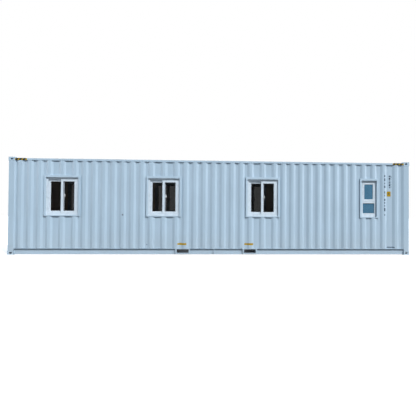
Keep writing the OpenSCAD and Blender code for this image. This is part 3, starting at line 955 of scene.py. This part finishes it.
@dataclass
class Growers:
    """The Geometry Nodes trees that the sub-assemblies share."""

    bead: Grower = field(default_factory=bead_grower)
    fastener: Grower = field(default_factory=fastener_grower)
    slanted: Grower = field(default_factory=slanted_grower)


# ---- Shaping CAD solids ---------------------------------------------------


def shaped(name: str, mesh: Mesh, radius: float = 0.0, steps: int = 2) -> Mesh:
    """Round a mesh's edges and weight its normals by face area.

    Args:
        name: Name of the result.
        mesh: The mesh to work on.
        radius: Width of the rounding, or 0 to leave the edges.
        steps: Faces across a rounded edge.

    Returns:
        The shaped mesh.
    """
    host = bpy.data.objects.new(name + "_host", mesh)
    bpy.context.scene.collection.objects.link(host)
    if radius:
        bevel = host.modifiers.new("round", "BEVEL")
        bevel.width = radius
        bevel.segments = steps
        bevel.limit_method = "ANGLE"
        bevel.angle_limit = EDGE_ANGLE
    host.modifiers.new("weigh", "WEIGHTED_NORMAL").keep_sharp = True
    graph = bpy.context.evaluated_depsgraph_get()
    result = bpy.data.meshes.new_from_object(host.evaluated_get(graph), depsgraph=graph)
    result.name = name
    bpy.data.objects.remove(host)
    return result


def flatten(form: Form) -> None:
    """Join the loose triangles of a form's flat faces."""
    bmesh.ops.dissolve_limit(form, angle_limit=FLAT_ANGLE, verts=form.verts, edges=form.edges)


def rounded_copy(node: str, finish: Material, radius: float, steps: int = 2) -> Piece:
    """Replace a CAD node with a copy whose edges are rounded.

    Args:
        node: Name of the node.
        finish: Material of the copy.
        radius: Width of the rounding.
        steps: Faces across a rounded edge.

    Returns:
        The new piece.
    """
    form = merged(node)
    flatten(form)
    mesh = shaped(node + "_rounded", mesh_of(node, form, smooth=True), radius, steps)
    piece = add_piece(node + "_rounded", mesh, finish)
    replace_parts(piece, node)
    return piece


def dress(node: str, finish: Material) -> None:
    """Give a CAD node that stays its finish.

    Args:
        node: Name of the node.
        finish: Its material.
    """
    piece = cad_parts[node]
    if not piece.material_slots:
        piece.data.materials.append(finish)
    for place in piece.material_slots:
        place.material = finish


@dataclass
class CorrugatedSkin:
    """The pressed sheets of the walls and the roof, with rounded bends."""

    finishes: Finishes
    bend: float = 10 * MM
    steps: int = 4
    straight: float = 0.999
    least_turn: float = math.radians(8)
    most_turn: float = math.radians(75)
    smooth_below: float = math.radians(35)
    film_step: float = 6 * MM
    faces: dict[Side, BVHTree] = field(default_factory=dict)

    def is_bend(self, edge: bmesh.types.BMEdge, along: int) -> bool:
        """Tell whether an edge is a press bend.

        Args:
            edge: The edge.
            along: Number of the axis that press bends run along.

        Returns:
            True for a press bend.
        """
        run = (edge.verts[0].co - edge.verts[1].co).normalized()
        if len(edge.link_faces) != 2 or abs(run[along]) < self.straight:
            return False
        return self.least_turn < edge.calc_face_angle() < self.most_turn

    def press(self, node: str, along: int) -> Piece:
        """Replace one CAD sheet.

        Args:
            node: Name of the node.
            along: Number of the axis that its corrugations run along.

        Returns:
            The new sheet.
        """
        form = merged(node)
        flatten(form)
        bends = [edge for edge in form.edges if self.is_bend(edge, along)]
        bmesh.ops.bevel(form, geom=bends, offset=self.bend, segments=self.steps, affect="EDGES",
                        profile=0.5, offset_type="OFFSET", clamp_overlap=True)
        for edge in form.edges:
            edge.smooth = len(edge.link_faces) == 2 and edge.calc_face_angle() < self.smooth_below
        mesh = shaped(node + "_pressed", mesh_of(node, form, smooth=True))
        piece = add_piece(node + "_pressed", mesh, self.finishes.body)
        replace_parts(piece, node)
        return piece

    def build(self) -> None:
        """Make all sheets and keep the two long ones for what lies on them."""
        for side in Side:
            piece = self.press(side.word + "_wall", 2)
            self.faces[side] = BVHTree.FromPolygons(
                [v.co for v in piece.data.vertices], [p.vertices for p in piece.data.polygons])
        self.press("closed_end_wall", 2)
        self.press("roof", 1)

    def touch(self, side: Side, x: float, z: float) -> Vector:
        """Return the point of a long sheet's outer face at one X and Z.

        Args:
            side: The side that the sheet is on.
            x: Place along the container.
            z: Height.

        Returns:
            The point.
        """
        hit = self.faces[side].ray_cast(Vector((x, side.value * 2.0, z)), Vector((0, -side.value, 0)))
        return hit[0]

    def film(self, form: Form, side: Side, rect: Rect, proud: float = 0.6 * MM) -> None:
        """Add a film that follows the bends of a long sheet.

        Args:
            form: The bmesh.
            side: The side that it is on.
            rect: Its extent in X and Z.
            proud: How far it stands off the sheet.
        """
        x0, x1, z0, z1 = rect
        middle, out = (z0 + z1) / 2, side.value
        columns = np.linspace(x0, x1, max(2, int((x1 - x0) / self.film_step) + 1))
        rows = []
        for x in columns:
            y = self.touch(side, float(x), middle).y
            rows.append([Vector((x, y + out * off, z)) for off, z in
                         ((proud, z0), (proud, z1), (-FIT, z1), (-FIT, z0))])
        skin = [[form.verts.new(point) for point in row] for row in rows]
        for one, two in zip(skin, skin[1:]):
            for i in range(4):
                form.faces.new((one[i], one[(i + 1) % 4], two[(i + 1) % 4], two[i]))
        form.faces.new(skin[0])
        form.faces.new(skin[-1][::-1])


# ---- Frame of the container -----------------------------------------------


@dataclass
class Steelwork:
    """Castings, posts, rails, end frames, pockets and cross members."""

    finishes: Finishes
    casting_round: float = 6 * MM
    post_round: float = 7 * MM
    rail_round: float = 4 * MM
    thin_round: float = 1.6 * MM

    def sill_plates(self) -> None:
        """Close the gaps between the closed end's sill and its posts."""
        low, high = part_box("closed_end_sill")
        bottom = solids("bottom_corner_castings")[-1][1].z
        post = solids("closed_end_posts")[-1][0].y
        form = bmesh.new()
        for side in Side:
            ends = sorted((side.value * (high.y + FIT), side.value * (post - FIT)))
            add_box(form, Vector((low.x + self.rail_round, ends[0], bottom + FIT)),
                    Vector((high.x - self.rail_round, ends[1], high.z - FIT)))
        add_piece("sill_end_plates", mesh_of("plates", form), self.finishes.body)

    def build(self) -> None:
        """Replace the CAD solids with rounded copies."""
        f = self.finishes
        for node in ("bottom_corner_castings", "top_corner_castings"):
            rounded_copy(node, f.casting, self.casting_round, 3)
        for node in ("door_end_posts", "closed_end_posts"):
            rounded_copy(node, f.body, self.post_round, 3)
        for node in ("front_top_rail", "back_top_rail", "door_header", "closed_end_header",
                     "door_sill", "closed_end_sill"):
            rounded_copy(node, f.body, self.rail_round, 3)
        for node in ("front_bottom_rail", "back_bottom_rail", "fork_pockets", "corner_plates"):
            rounded_copy(node, f.body, self.thin_round)
        rounded_copy("cross_members", f.base, self.thin_round)
        self.sill_plates()


@dataclass
class Inside:
    """Floor, lining and ceiling, with the screws that hold them."""

    finishes: Finishes
    growers: Growers
    spacing: float = 0.4
    first: float = 0.15
    last: float = 0.1
    end: float = 0.05
    head: float = 5 * MM
    head_height: float = 1.4 * MM

    def build(self) -> None:
        """Dress the boards and screw them down."""
        f = self.finishes
        dress("floor", f.plywood)
        for node in ("front_lining", "back_lining", "closed_end_lining", "ceiling"):
            dress(node, f.lining)
        low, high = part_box("floor")
        rows = [box[0].x / 2 + box[1].x / 2 for box in solids("cross_members")]
        points = [Vector((x, y, high.z)) for x in rows
                  for y in np.arange(low.y + self.first, high.y - self.last, self.spacing)
                  if low.x + self.end < x < high.x - self.end]
        self.growers.fastener.grow(
            "floor_screws", lines([[p] for p in points], closed=False), Slot.ZINC, Radius=self.head,
            Height=self.head_height, Sides=10, Tilt=(0.0, 0.0, 0.0), Seed=3, Finish=f.zinc)


# ---- Windows --------------------------------------------------------------


SASH_PROFILE = Moulding((
    ("outer", 0.0, 3 * MM), ("outer", 3 * MM, 0.0), ("inner", 17 * MM, 0.0), ("inner", 15 * MM, 2 * MM),
    ("inner", 13 * MM, 2 * MM), ("inner", 11 * MM, 0.5 * MM), ("inner", 0.0, 8 * MM),
    ("inner", 0.0, 24 * MM), ("inner", 11 * MM, 30 * MM), ("outer", 3 * MM, 30 * MM),
    ("outer", 0.0, 27 * MM)))
VENT_PROFILE = Moulding((
    ("outer", 0.0, 4 * MM), ("outer", 4 * MM, 0.0), ("inner", 15 * MM, 0.0), ("inner", 13 * MM, 2 * MM),
    ("inner", 11 * MM, 1 * MM), ("inner", 0.0, 10 * MM), ("inner", 0.0, 32 * MM),
    ("inner", 10 * MM, 40 * MM), ("outer", 3 * MM, 40 * MM), ("outer", 0.0, 37 * MM)))


@dataclass
class Windows:
    """Surrounds, fixed frames, gaskets, sealant, pulls and drain covers of one long side."""

    side: Side
    finishes: Finishes
    growers: Growers
    gasket: float = 2.6 * MM
    sealant: float = 3.2 * MM
    sealant_inset: float = 1.5 * MM
    sealant_proud: float = 0.5 * MM
    groove: float = 1.3 * MM
    groove_inset: float = 17 * MM
    surround_round: float = 2.2 * MM
    frame_round: float = 2 * MM
    pull_width: float = 16 * MM
    pull_height: float = 0.11
    pull_proud: float = 4 * MM
    pull_level: float = 0.42
    outer_pull: float = 40 * MM
    inner_pull: float = 22 * MM
    pull_round: float = 1.8 * MM
    drain_half: float = 15 * MM
    drain_foot: float = 24 * MM
    drain_head: float = 31 * MM
    drain_proud: float = 1.6 * MM
    drain_round: float = 0.8 * MM
    drain_shares: tuple[float, float] = (0.2, 0.8)

    def face(self, box: Corners) -> float:
        """Return the Y of a box's outer face."""
        return box[0].y if self.side is Side.FRONT else box[1].y

    def panes_in(self, outer: Corners) -> list[Corners]:
        """Return this side's panes that lie within a box's extent in X and Z.

        Args:
            outer: The box.

        Returns:
            The boxes of the panes.
        """
        panes = on_side(solids("clear_panes") + solids("frosted_panes"), self.side)
        x0, x1, z0, z1 = rect_of(outer)
        return [(low, high) for low, high in panes
                if x0 - MM < low.x and high.x < x1 + MM and z0 - MM < low.z and high.z < z1 + MM]

    def sashes(self, node: str, profile: Moulding, form: Form) -> None:
        """Add the rings of one kind of sash, each around its own pane.

        Args:
            node: The CAD node of the sashes.
            profile: Their profile.
            form: The bmesh to add to.
        """
        for box in on_side(solids(node), self.side):
            for pane in self.panes_in(box):
                if min(box[0].y, box[1].y) - MM < pane[0].y and pane[1].y < max(box[0].y, box[1].y) + MM:
                    profile.add(form, rect_of(box), rect_of(pane), self.face(box), -self.side.value)

    def frames(self) -> Mesh:
        """Copy the fixed frames from the CAD and round them.

        Returns:
            The mesh.
        """
        form = merged(self.side.word + "_window_frames")
        flatten(form)
        return shaped("frames", mesh_of("frames", form, smooth=True), self.frame_round)

    def grooves(self) -> list[list[Vector]]:
        """Trace the pressed groove round each fixed frame.

        Returns:
            The corners of each groove.
        """
        return [rectangle(rect_of(box), -self.groove_inset, self.face(box) - self.side.value * FIT)
                for box in on_side(solids(self.side.word + "_window_frames"), self.side)]

    def gaskets(self) -> list[list[Vector]]:
        """Trace the rubber gaskets on both faces of each pane.

        Returns:
            The corners of each gasket.
        """
        panes = on_side(solids("clear_panes") + solids("frosted_panes"), self.side)
        return [rectangle(rect_of(pane), -self.gasket, corner.y) for pane in panes for corner in pane]

    def sealant_lines(self) -> list[list[Vector]]:
        """Trace the sealant between each surround and its frame.

        Returns:
            The corners of each bead.
        """
        proud = self.side.value * self.sealant_proud
        return [rectangle(rect_of(box), -self.sealant_inset, self.face(box) + proud)
                for box in on_side(solids(self.side.word + "_window_frames"), self.side)]

    def pulls(self) -> Mesh:
        """Make the pull grips, one upright bar on each sliding sash.

        Returns:
            The mesh.
        """
        form = bmesh.new()
        for node in ("outer_sashes", "inner_sashes"):
            for box in on_side(solids(node), self.side):
                x = box[1].x - self.outer_pull if node == "outer_sashes" else box[0].x + self.inner_pull
                z = box[0].z + self.pull_level * (box[1].z - box[0].z)
                near, far = sorted((self.face(box), self.face(box) + self.side.value * self.pull_proud))
                add_box(form, Vector((x, near, z)), Vector((x + self.pull_width, far, z + self.pull_height)))
        return shaped("pulls", mesh_of("pulls", form, smooth=True), self.pull_round)

    def weeps(self) -> Mesh:
        """Make the covers of the drain slots at the foot of each fixed frame.

        Returns:
            The mesh.
        """
        form = bmesh.new()
        for box in on_side(solids(self.side.word + "_window_frames"), self.side):
            near, far = sorted((self.face(box), self.face(box) + self.side.value * self.drain_proud))
            for share in self.drain_shares:
                x = box[0].x + share * (box[1].x - box[0].x)
                add_box(form, Vector((x - self.drain_half, near, box[0].z + self.drain_foot)),
                        Vector((x + self.drain_half, far, box[0].z + self.drain_head)))
        return shaped("weeps", mesh_of("weeps", form, smooth=True), self.drain_round)

    def build(self) -> None:
        """Make the windows of this side."""
        f, word = self.finishes, self.side.word
        rounded_copy(word + "_window_surrounds", f.surround, self.surround_round)
        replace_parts(add_piece(word + "_fixed_frames", self.frames(), f.plastic),
                    word + "_window_frames")
        bead = self.growers.bead
        bead.grow(word + "_pane_gaskets", lines(self.gaskets()), Slot.RUBBER,
                  Radius=self.gasket, Sides=6, Finish=f.rubber)
        bead.grow(word + "_frame_sealant", lines(self.sealant_lines()), Slot.SURROUND,
                  Radius=self.sealant, Sides=6, Finish=f.sealant)
        bead.grow(word + "_frame_grooves", lines(self.grooves()), Slot.PLASTIC,
                  Radius=self.groove, Sides=4, Finish=f.plastic)
        add_piece(word + "_sash_pulls", self.pulls(), f.plastic)
        add_piece(word + "_drain_covers", self.weeps(), f.plastic)


@dataclass
class Sashes:
    """The moving sashes of both sides, their panes and latches."""

    finishes: Finishes
    sides: list[Windows]
    pane_round: float = 0.8 * MM
    latch_round: float = 1.5 * MM

    def build(self) -> None:
        """Replace the CAD sashes with moulded ones and dress the glass."""
        f = self.finishes
        for node, profile in (("outer_sashes", SASH_PROFILE), ("inner_sashes", SASH_PROFILE),
                              ("vent_sashes", VENT_PROFILE)):
            form = bmesh.new()
            for windows in self.sides:
                windows.sashes(node, profile, form)
            mesh = shaped(node + "_moulded", mesh_of(node, form))
            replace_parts(add_piece(node + "_moulded", mesh, f.plastic), node)
        # The back panes take the nearly black glass, painted shade for the room behind the front panes.
        for side, glass in ((Side.FRONT, f.clear), (Side.BACK, f.film)):
            form = bmesh.new()
            for low, high in on_side(solids("clear_panes"), side):
                add_box(form, low, high)
            mesh = shaped(side.word + "_clear_panes", mesh_of("panes", form, smooth=True), self.pane_round)
            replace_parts(add_piece(side.word + "_clear_panes", mesh, glass), "clear_panes")
        dress("frosted_panes", f.frosted)
        rounded_copy("window_latches", f.latch, self.latch_round, 3)


# ---- Cargo doors ----------------------------------------------------------


@dataclass
class CargoDoors:
    """The door leaves with their seals, locking gear and hinges."""

    finishes: Finishes
    growers: Growers
    leaf_round: float = 4 * MM
    gear_round: float = 1.5 * MM
    bolt: float = 7 * MM
    bolt_height: float = 4 * MM
    bolt_inset: float = 9 * MM
    lip: float = 5 * MM
    lip_inset: float = 14 * MM

    def bolts(self, node: str) -> list[Vector]:
        """Return two bolt places on the outer face of each solid of a node.

        Args:
            node: Name of the node.

        Returns:
            The places.
        """
        found = []
        for low, high in solids(node):
            middle = (low + high) / 2
            wide = high.y - low.y > high.z - low.z
            for end in (-1, 1):
                reach = end * ((high.y - low.y if wide else high.z - low.z) / 2 - self.bolt_inset)
                found.append(Vector((low.x, middle.y + reach * wide, middle.z + reach * (not wide))))
        return found

    def build(self) -> None:
        """Make the doors."""
        f = self.finishes
        for node in ("left_cargo_door", "right_cargo_door"):
            rounded_copy(node, f.body, self.leaf_round, 3)
        for node in ("bar_keepers", "bar_guides", "door_handles", "door_hinges", "locking_bars"):
            rounded_copy(node, f.zinc, self.gear_round)
        dress("door_seals", f.rubber)
        lips = []
        for node in ("left_cargo_door", "right_cargo_door"):
            low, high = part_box(node)
            x = low.x + self.lip_inset
            lips.append([Vector((x, a, b)) for a, b in
                         ((low.y, low.z), (high.y, low.z), (high.y, high.z), (low.y, high.z))])
        self.growers.bead.grow("door_seal_lips", lines(lips), Slot.RUBBER,
                               Radius=self.lip, Sides=8, Finish=f.rubber)
        self.growers.fastener.grow(
            "door_gear_bolts", lines([[p] for p in self.bolts("bar_guides")], closed=False),
            Slot.ZINC, Radius=self.bolt, Height=self.bolt_height, Sides=6,
            Tilt=(0.0, -math.pi / 2, 0.0), Seed=5, Finish=f.zinc)


# ---- Small things on the sheets -------------------------------------------


@dataclass
class SmallParts:
    """The round caps, the yellow plate and its rivets."""

    finishes: Finishes
    growers: Growers
    outline: tuple[tuple[float, float], ...] = (
        (1.0, 1.0), (1.0, 0.35), (0.95, 0.25), (0.8, 0.25), (0.77, 0.1), (0.7, 0.02), (0.45, 0.0))
    around: int = 32
    plate_round: float = 0.8 * MM
    rivet: float = 4 * MM
    rivet_height: float = 2 * MM
    rivet_inset: float = 9 * MM
    panel: Rect = (-22 * MM, 20 * MM, -12 * MM, 26 * MM)
    panel_proud: float = 0.7 * MM
    panel_sunk: float = 0.2 * MM
    panel_round: float = 0.3 * MM

    def turned(self, box: Corners, form: Form) -> None:
        """Add a domed cap with a stepped rim in the space of a box.

        Args:
            box: The space of the cap, on the front side.
            form: The bmesh to add to.
        """
        middle = (box[0] + box[1]) / 2
        radius, depth = (box[1].x - box[0].x) / 2, box[1].y - box[0].y
        angles = np.linspace(0, math.tau, self.around + 1)[:-1]
        rows = []
        for reach, level in self.outline:
            y, r = box[0].y + level * depth, radius * reach
            rows.append([form.verts.new((middle.x + r * math.cos(a), y, middle.z + r * math.sin(a)))
                         for a in angles])
        for one, two in zip(rows, rows[1:]):
            for i in range(self.around):
                k = (i + 1) % self.around
                form.faces.new((one[i], one[k], two[k], two[i]))
        form.faces.new(rows[0])
        form.faces.new(rows[-1])

    def build(self) -> None:
        """Make the caps and the plate."""
        f = self.finishes
        form = bmesh.new()
        for box in solids("outlet_caps"):
            self.turned(box, form)
        mesh = shaped("outlet_caps_turned", mesh_of("caps", form, smooth=True))
        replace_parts(add_piece("outlet_caps_turned", mesh, f.cap), "outlet_caps")
        rounded_copy("data_plate", f.yellow, self.plate_round)
        low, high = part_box("data_plate")
        corners = rectangle(rect_of((low, high)), -self.rivet_inset, low.y - self.plate_round)
        self.growers.fastener.grow(
            "plate_rivets", lines([[p] for p in corners], closed=False), Slot.ZINC, Radius=self.rivet,
            Height=self.rivet_height, Sides=10, Tilt=(math.pi / 2, 0.0, 0.0), Seed=7, Finish=f.zinc)
        form = bmesh.new()
        middle = (low + high) / 2
        left, right, foot, head = self.panel
        add_box(form, Vector((middle.x + left, low.y - self.panel_proud, middle.z + foot)),
                Vector((middle.x + right, low.y + self.panel_sunk, middle.z + head)))
        mesh = shaped("plate_panel", mesh_of("panel", form, smooth=True), self.panel_round)
        add_piece("plate_panel", mesh, f.ink)


@dataclass(frozen=True)
class BarColumn:
    """A column of plain bars, measured from the lower left corner of the yellow plate.

    Attributes:
        across: Left and right end of the bars.
        down: Top of the column, and the height that no bar reaches below.
        heights: Heights of the bars in turn.
        gap: Distance between bars.
        ragged: Step by which the bars' ends differ.
    """

    across: tuple[float, float]
    down: tuple[float, float]
    heights: tuple[float, ...]
    gap: float
    ragged: float = 4 * MM

    def add(self, form: Form, skin: CorrugatedSkin, corner: Vector) -> None:
        """Add the bars to a bmesh.

        Args:
            form: The bmesh.
            skin: The sheets that they lie on.
            corner: The plate's lower left corner.
        """
        top, foot, turn = corner.z + self.down[0], corner.z + self.down[1], 0
        while top - self.heights[turn % len(self.heights)] > foot:
            height = self.heights[turn % len(self.heights)]
            inset = self.ragged * (turn % 3)
            skin.film(form, Side.FRONT, (corner.x + self.across[0] + inset,
                                         corner.x + self.across[1] - inset, top - height, top))
            top -= height + self.gap
            turn += 1


@dataclass
class Marks:
    """Warning stripes, pocket labels and rows of plain bars, all without lettering."""

    finishes: Finishes
    growers: Growers
    skin: CorrugatedSkin
    stripe_length: float = 0.345
    stripe_pitch: float = 0.107
    stripe_width: float = 0.064
    stripe_film: float = 0.7 * MM
    stripe_margin: float = 4 * MM
    stripe_start: float = 52 * MM
    stripe_spare: float = 60 * MM
    lean: float = 0.75
    ground_film: float = 0.6 * MM
    ground_inset: float = 6 * MM
    label_half: float = 0.135
    label_foot: float = 0.298
    label_head: float = 0.354
    label_shifts: tuple[float, float] = (-22 * MM, -32 * MM)
    row_count: int = 6
    row_pitch: float = 0.04
    row_width: float = 0.03
    row_foot: float = 0.218
    row_head: float = 0.254
    dark: tuple[BarColumn, ...] = (
        BarColumn((-0.1, -0.056), (0.665, 0.205), (0.05, 0.09, 0.05, 0.07), 0.045),
        BarColumn((-0.1, -0.058), (-0.07, -0.515), (0.06, 0.05, 0.05, 0.1), 0.042),
        BarColumn((0.06, 0.116), (0.655, 0.215), (0.034, 0.062, 0.028), 0.028))
    faded: tuple[BarColumn, ...] = (
        BarColumn((-0.1, -0.062), (0.165, -0.015), (0.07, 0.05), 0.04),
        BarColumn((-0.1, -0.062), (-0.545, -0.665), (0.05,), 0.03),
        BarColumn((0.126, 0.145), (0.635, 0.235), (0.05, 0.022), 0.04))

    def stripes(self, side: Side) -> None:
        """Put slanted stripes at both ends of a top rail.

        Args:
            side: The rail's side.
        """
        low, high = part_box(side.word + "_top_rail")
        out = side.value
        face = low.y if side is Side.FRONT else high.y
        height = high.z - low.z - self.ground_inset
        middle = (low.z + high.z) / 2
        near, far = sorted((face, face + out * self.ground_film))
        form, starts = bmesh.new(), []
        for x in (low.x + self.stripe_margin, high.x - self.stripe_margin - self.stripe_length):
            add_box(form, Vector((x, near, middle - height / 2)),
                    Vector((x + self.stripe_length, far, middle + height / 2)))
            starts.append(Vector((x + self.stripe_start, face + out * self.stripe_film, middle)))
        add_piece(side.word + "_stripe_ground", mesh_of("stripes", form), self.finishes.yellow)
        count = int((self.stripe_length - self.stripe_spare) / self.stripe_pitch) + 1
        self.growers.slanted.grow(
            side.word + "_stripes", lines([[p] for p in starts], closed=False), Slot.PLATE,
            Count=count, Pitch=self.stripe_pitch, Size=(self.stripe_width, self.stripe_film, height),
            Lean=-out * self.lean, Finish=self.finishes.black)

    def pocket_labels(self, side: Side) -> None:
        """Put a yellow label on the sheet over each forklift pocket.

        Args:
            side: The side that gets them.
        """
        boxes = solids("fork_pockets")
        form = bmesh.new()
        for half, shift in zip((-1, 1), self.label_shifts):
            pocket = [box for box in boxes if (box[0].x + box[1].x) * half > 0]
            middle = (min(low.x for low, _ in pocket) + max(high.x for _, high in pocket)) / 2 + shift
            self.skin.film(form, side, (middle - self.label_half, middle + self.label_half,
                                        self.label_foot, self.label_head))
        add_piece(side.word + "_pocket_labels", mesh_of("labels", form), self.finishes.yellow)

    def build(self) -> None:
        """Make all marks."""
        for side in Side:
            self.stripes(side)
            self.pocket_labels(side)
        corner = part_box("data_plate")[0]
        form = bmesh.new()
        for column in self.dark:
            column.add(form, self.skin, corner)
        for i in range(self.row_count):
            x = corner.x + self.row_pitch * i
            self.skin.film(form, Side.FRONT, (x, x + self.row_width, self.row_foot, self.row_head))
        add_piece("dark_bars", mesh_of("bars", form), self.finishes.ink)
        form = bmesh.new()
        for column in self.faded:
            column.add(form, self.skin, corner)
        add_piece("faded_bars", mesh_of("faded", form), self.finishes.pale_ink)


@dataclass
class Welds:
    """Weld beads where the long sheets meet the rails."""

    finishes: Finishes
    growers: Growers
    skin: CorrugatedSkin
    radius: float = 3 * MM
    step: float = 0.018
    end: float = 0.02
    clear: float = 0.05
    inset: float = 2 * MM

    def along(self, side: Side, z: float, at: float) -> list[Vector]:
        """Return points that follow a long sheet's bends.

        Args:
            side: The side that the sheet is on.
            z: Height at which its bends are read.
            at: Height of the bead.

        Returns:
            The points.
        """
        low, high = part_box(side.word + "_wall")
        places = np.arange(low.x + self.end, high.x - self.end, self.step)
        points = [self.skin.touch(side, float(x), z) for x in places]
        return [Vector((p.x, p.y, at)) for p in points]

    def build(self) -> None:
        """Sweep the beads."""
        for side in Side:
            low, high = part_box(side.word + "_wall")
            runs = [self.along(side, high.z - self.clear, high.z - self.inset),
                    self.along(side, low.z + self.clear, low.z + self.inset)]
            self.growers.bead.grow(side.word + "_sheet_welds", lines(runs, closed=False), Slot.BODY,
                                   Radius=self.radius, Sides=6, Finish=self.finishes.weld)


# ---- Studio ---------------------------------------------------------------


@dataclass(frozen=True)
class Viewpoint:
    """The camera: a nearly level look at the long front."""

    place: tuple[float, float, float] = (-0.59, -14.719, 1.5)
    yaw: float = 3.68
    pitch: float = 1.25
    roll: float = 0.43
    lens: float = 38.5
    shift: tuple[float, float] = (-0.0375, -0.0294)

    def build(self) -> None:
        """Make the camera and set it as the scene's."""
        yaw, pitch, roll = (math.radians(a) for a in (self.yaw, self.pitch, self.roll))
        ahead = Vector((math.sin(yaw) * math.cos(pitch), math.cos(yaw) * math.cos(pitch), math.sin(pitch)))
        right = Vector((math.cos(yaw), -math.sin(yaw), 0.0))
        up = right.cross(ahead)
        across = right * math.cos(roll) + up * math.sin(roll)
        upward = up * math.cos(roll) - right * math.sin(roll)
        data = bpy.data.cameras.new("camera")
        data.lens, data.sensor_width = self.lens, 36.0
        data.shift_x, data.shift_y = self.shift
        camera = bpy.data.objects.new("camera", data)
        turn = Matrix((across, upward, -ahead)).transposed().to_4x4()
        camera.matrix_world = Matrix.Translation(self.place) @ turn
        bpy.context.scene.collection.objects.link(camera)
        bpy.context.scene.camera = camera


@dataclass(frozen=True)
class Studio:
    """The pale floor, a key light and a surround with soft light from the ends and the back."""

    key: float = 4.5
    softness: float = math.radians(1.2)
    toward: tuple[float, float, float] = (0.354, -0.612, 0.707)
    fill: Colour = (0.92, 1.0, 1.1)
    base: float = 0.08
    sides: float = 3.0
    narrowness: float = 4.0
    rear: float = 0.7
    bounce: float = 0.2
    glow: float = 0.6
    reach: float = 40.0
    drop: float = 0.5 * MM

    def floor(self) -> None:
        """Lay the floor."""
        form = bmesh.new()
        bmesh.ops.create_grid(form, x_segments=1, y_segments=1, size=self.reach)
        for vert in form.verts:
            vert.co.z = -self.drop
        piece = bpy.data.objects.new("floor_stage", mesh_of("floor_stage", form))
        bpy.context.scene.collection.objects.link(piece)
        b = Brush("stage_floor")
        seen = b.tree.nodes.new("ShaderNodeLightPath").outputs["Is Camera Ray"]
        pale = b.blend(b.noise(0.7, 3.0), (0.82, 0.82, 0.82), (0.87, 0.87, 0.87))
        b.surface(Base_Color=b.blend(seen, (self.bounce,) * 3, pale), Roughness=0.9, Specular_IOR_Level=0.1,
                  Emission_Color=(1.0, 1.0, 1.0, 1.0), Emission_Strength=b.calc("MULTIPLY", seen, self.glow))
        piece.data.materials.append(b.material)

    def steps(self, tree: bpy.types.NodeTree, value: Socket,
              *work: tuple[str, float | Socket]) -> Socket:
        """Put math steps behind one another.

        Args:
            tree: The node tree that gets them.
            value: The first step's first input.
            work: Each step's operation with its second input.

        Returns:
            The last step's output.
        """
        for operation, second in work:
            step = tree.nodes.new("ShaderNodeMath")
            step.operation = operation
            tree.links.new(value, step.inputs[0])
            if isinstance(second, float):
                step.inputs[1].default_value = second
            else:
                tree.links.new(second, step.inputs[1])
            value = step.outputs[0]
        return value

    def lamp(self) -> None:
        """Set the key light."""
        data = bpy.data.lights.new("key", "SUN")
        data.energy, data.angle = self.key, self.softness
        piece = bpy.data.objects.new("key", data)
        piece.rotation_euler = Vector(self.toward).to_track_quat("Z", "Y").to_euler()
        bpy.context.scene.collection.objects.link(piece)

    def surround(self) -> None:
        """Set the soft light from all round, white where the camera sees it."""
        world = bpy.data.worlds.new("studio")
        bpy.context.scene.world = world
        world.use_nodes = True
        tree = world.node_tree
        tree.nodes.clear()
        output = tree.nodes.new("ShaderNodeOutputWorld")
        apart = tree.nodes.new("ShaderNodeSeparateXYZ")
        tree.links.new(tree.nodes.new("ShaderNodeTexCoord").outputs["Generated"], apart.inputs[0])
        ends = self.steps(tree, apart.outputs["X"],
                          ("ABSOLUTE", 0.0), ("POWER", self.narrowness), ("MULTIPLY", self.sides))
        rear = self.steps(tree, apart.outputs["Y"], ("MAXIMUM", 0.0), ("MULTIPLY", self.rear))
        level = self.steps(tree, ends, ("ADD", rear), ("ADD", self.base))
        seen, unseen = tree.nodes.new("ShaderNodeBackground"), tree.nodes.new("ShaderNodeBackground")
        seen.inputs["Color"].default_value = (1, 1, 1, 1)
        unseen.inputs["Color"].default_value = (*self.fill, 1)
        tree.links.new(level, unseen.inputs["Strength"])
        mix, path = tree.nodes.new("ShaderNodeMixShader"), tree.nodes.new("ShaderNodeLightPath")
        tree.links.new(path.outputs["Is Camera Ray"], mix.inputs[0])
        tree.links.new(unseen.outputs[0], mix.inputs[1])
        tree.links.new(seen.outputs[0], mix.inputs[2])
        tree.links.new(mix.outputs[0], output.inputs["Surface"])
        bpy.context.scene.view_settings.view_transform = "Standard"

    def build(self) -> None:
        """Make the studio."""
        self.floor()
        self.lamp()
        self.surround()


def main() -> None:
    """Build the cabin, the studio and the camera."""
    logging.basicConfig(level=logging.INFO, format="%(name)s: %(message)s")
    Viewpoint().build()
    Studio().build()
    finishes, growers = Finishes(), Growers()
    skin = CorrugatedSkin(finishes)
    skin.build()
    Steelwork(finishes).build()
    Inside(finishes, growers).build()
    sides = [Windows(side, finishes, growers) for side in Side]
    for windows in sides:
        windows.build()
    Sashes(finishes, sides).build()
    CargoDoors(finishes, growers).build()
    SmallParts(finishes, growers).build()
    Marks(finishes, growers, skin).build()
    Welds(finishes, growers, skin).build()


if __name__ == "__main__":
    main()
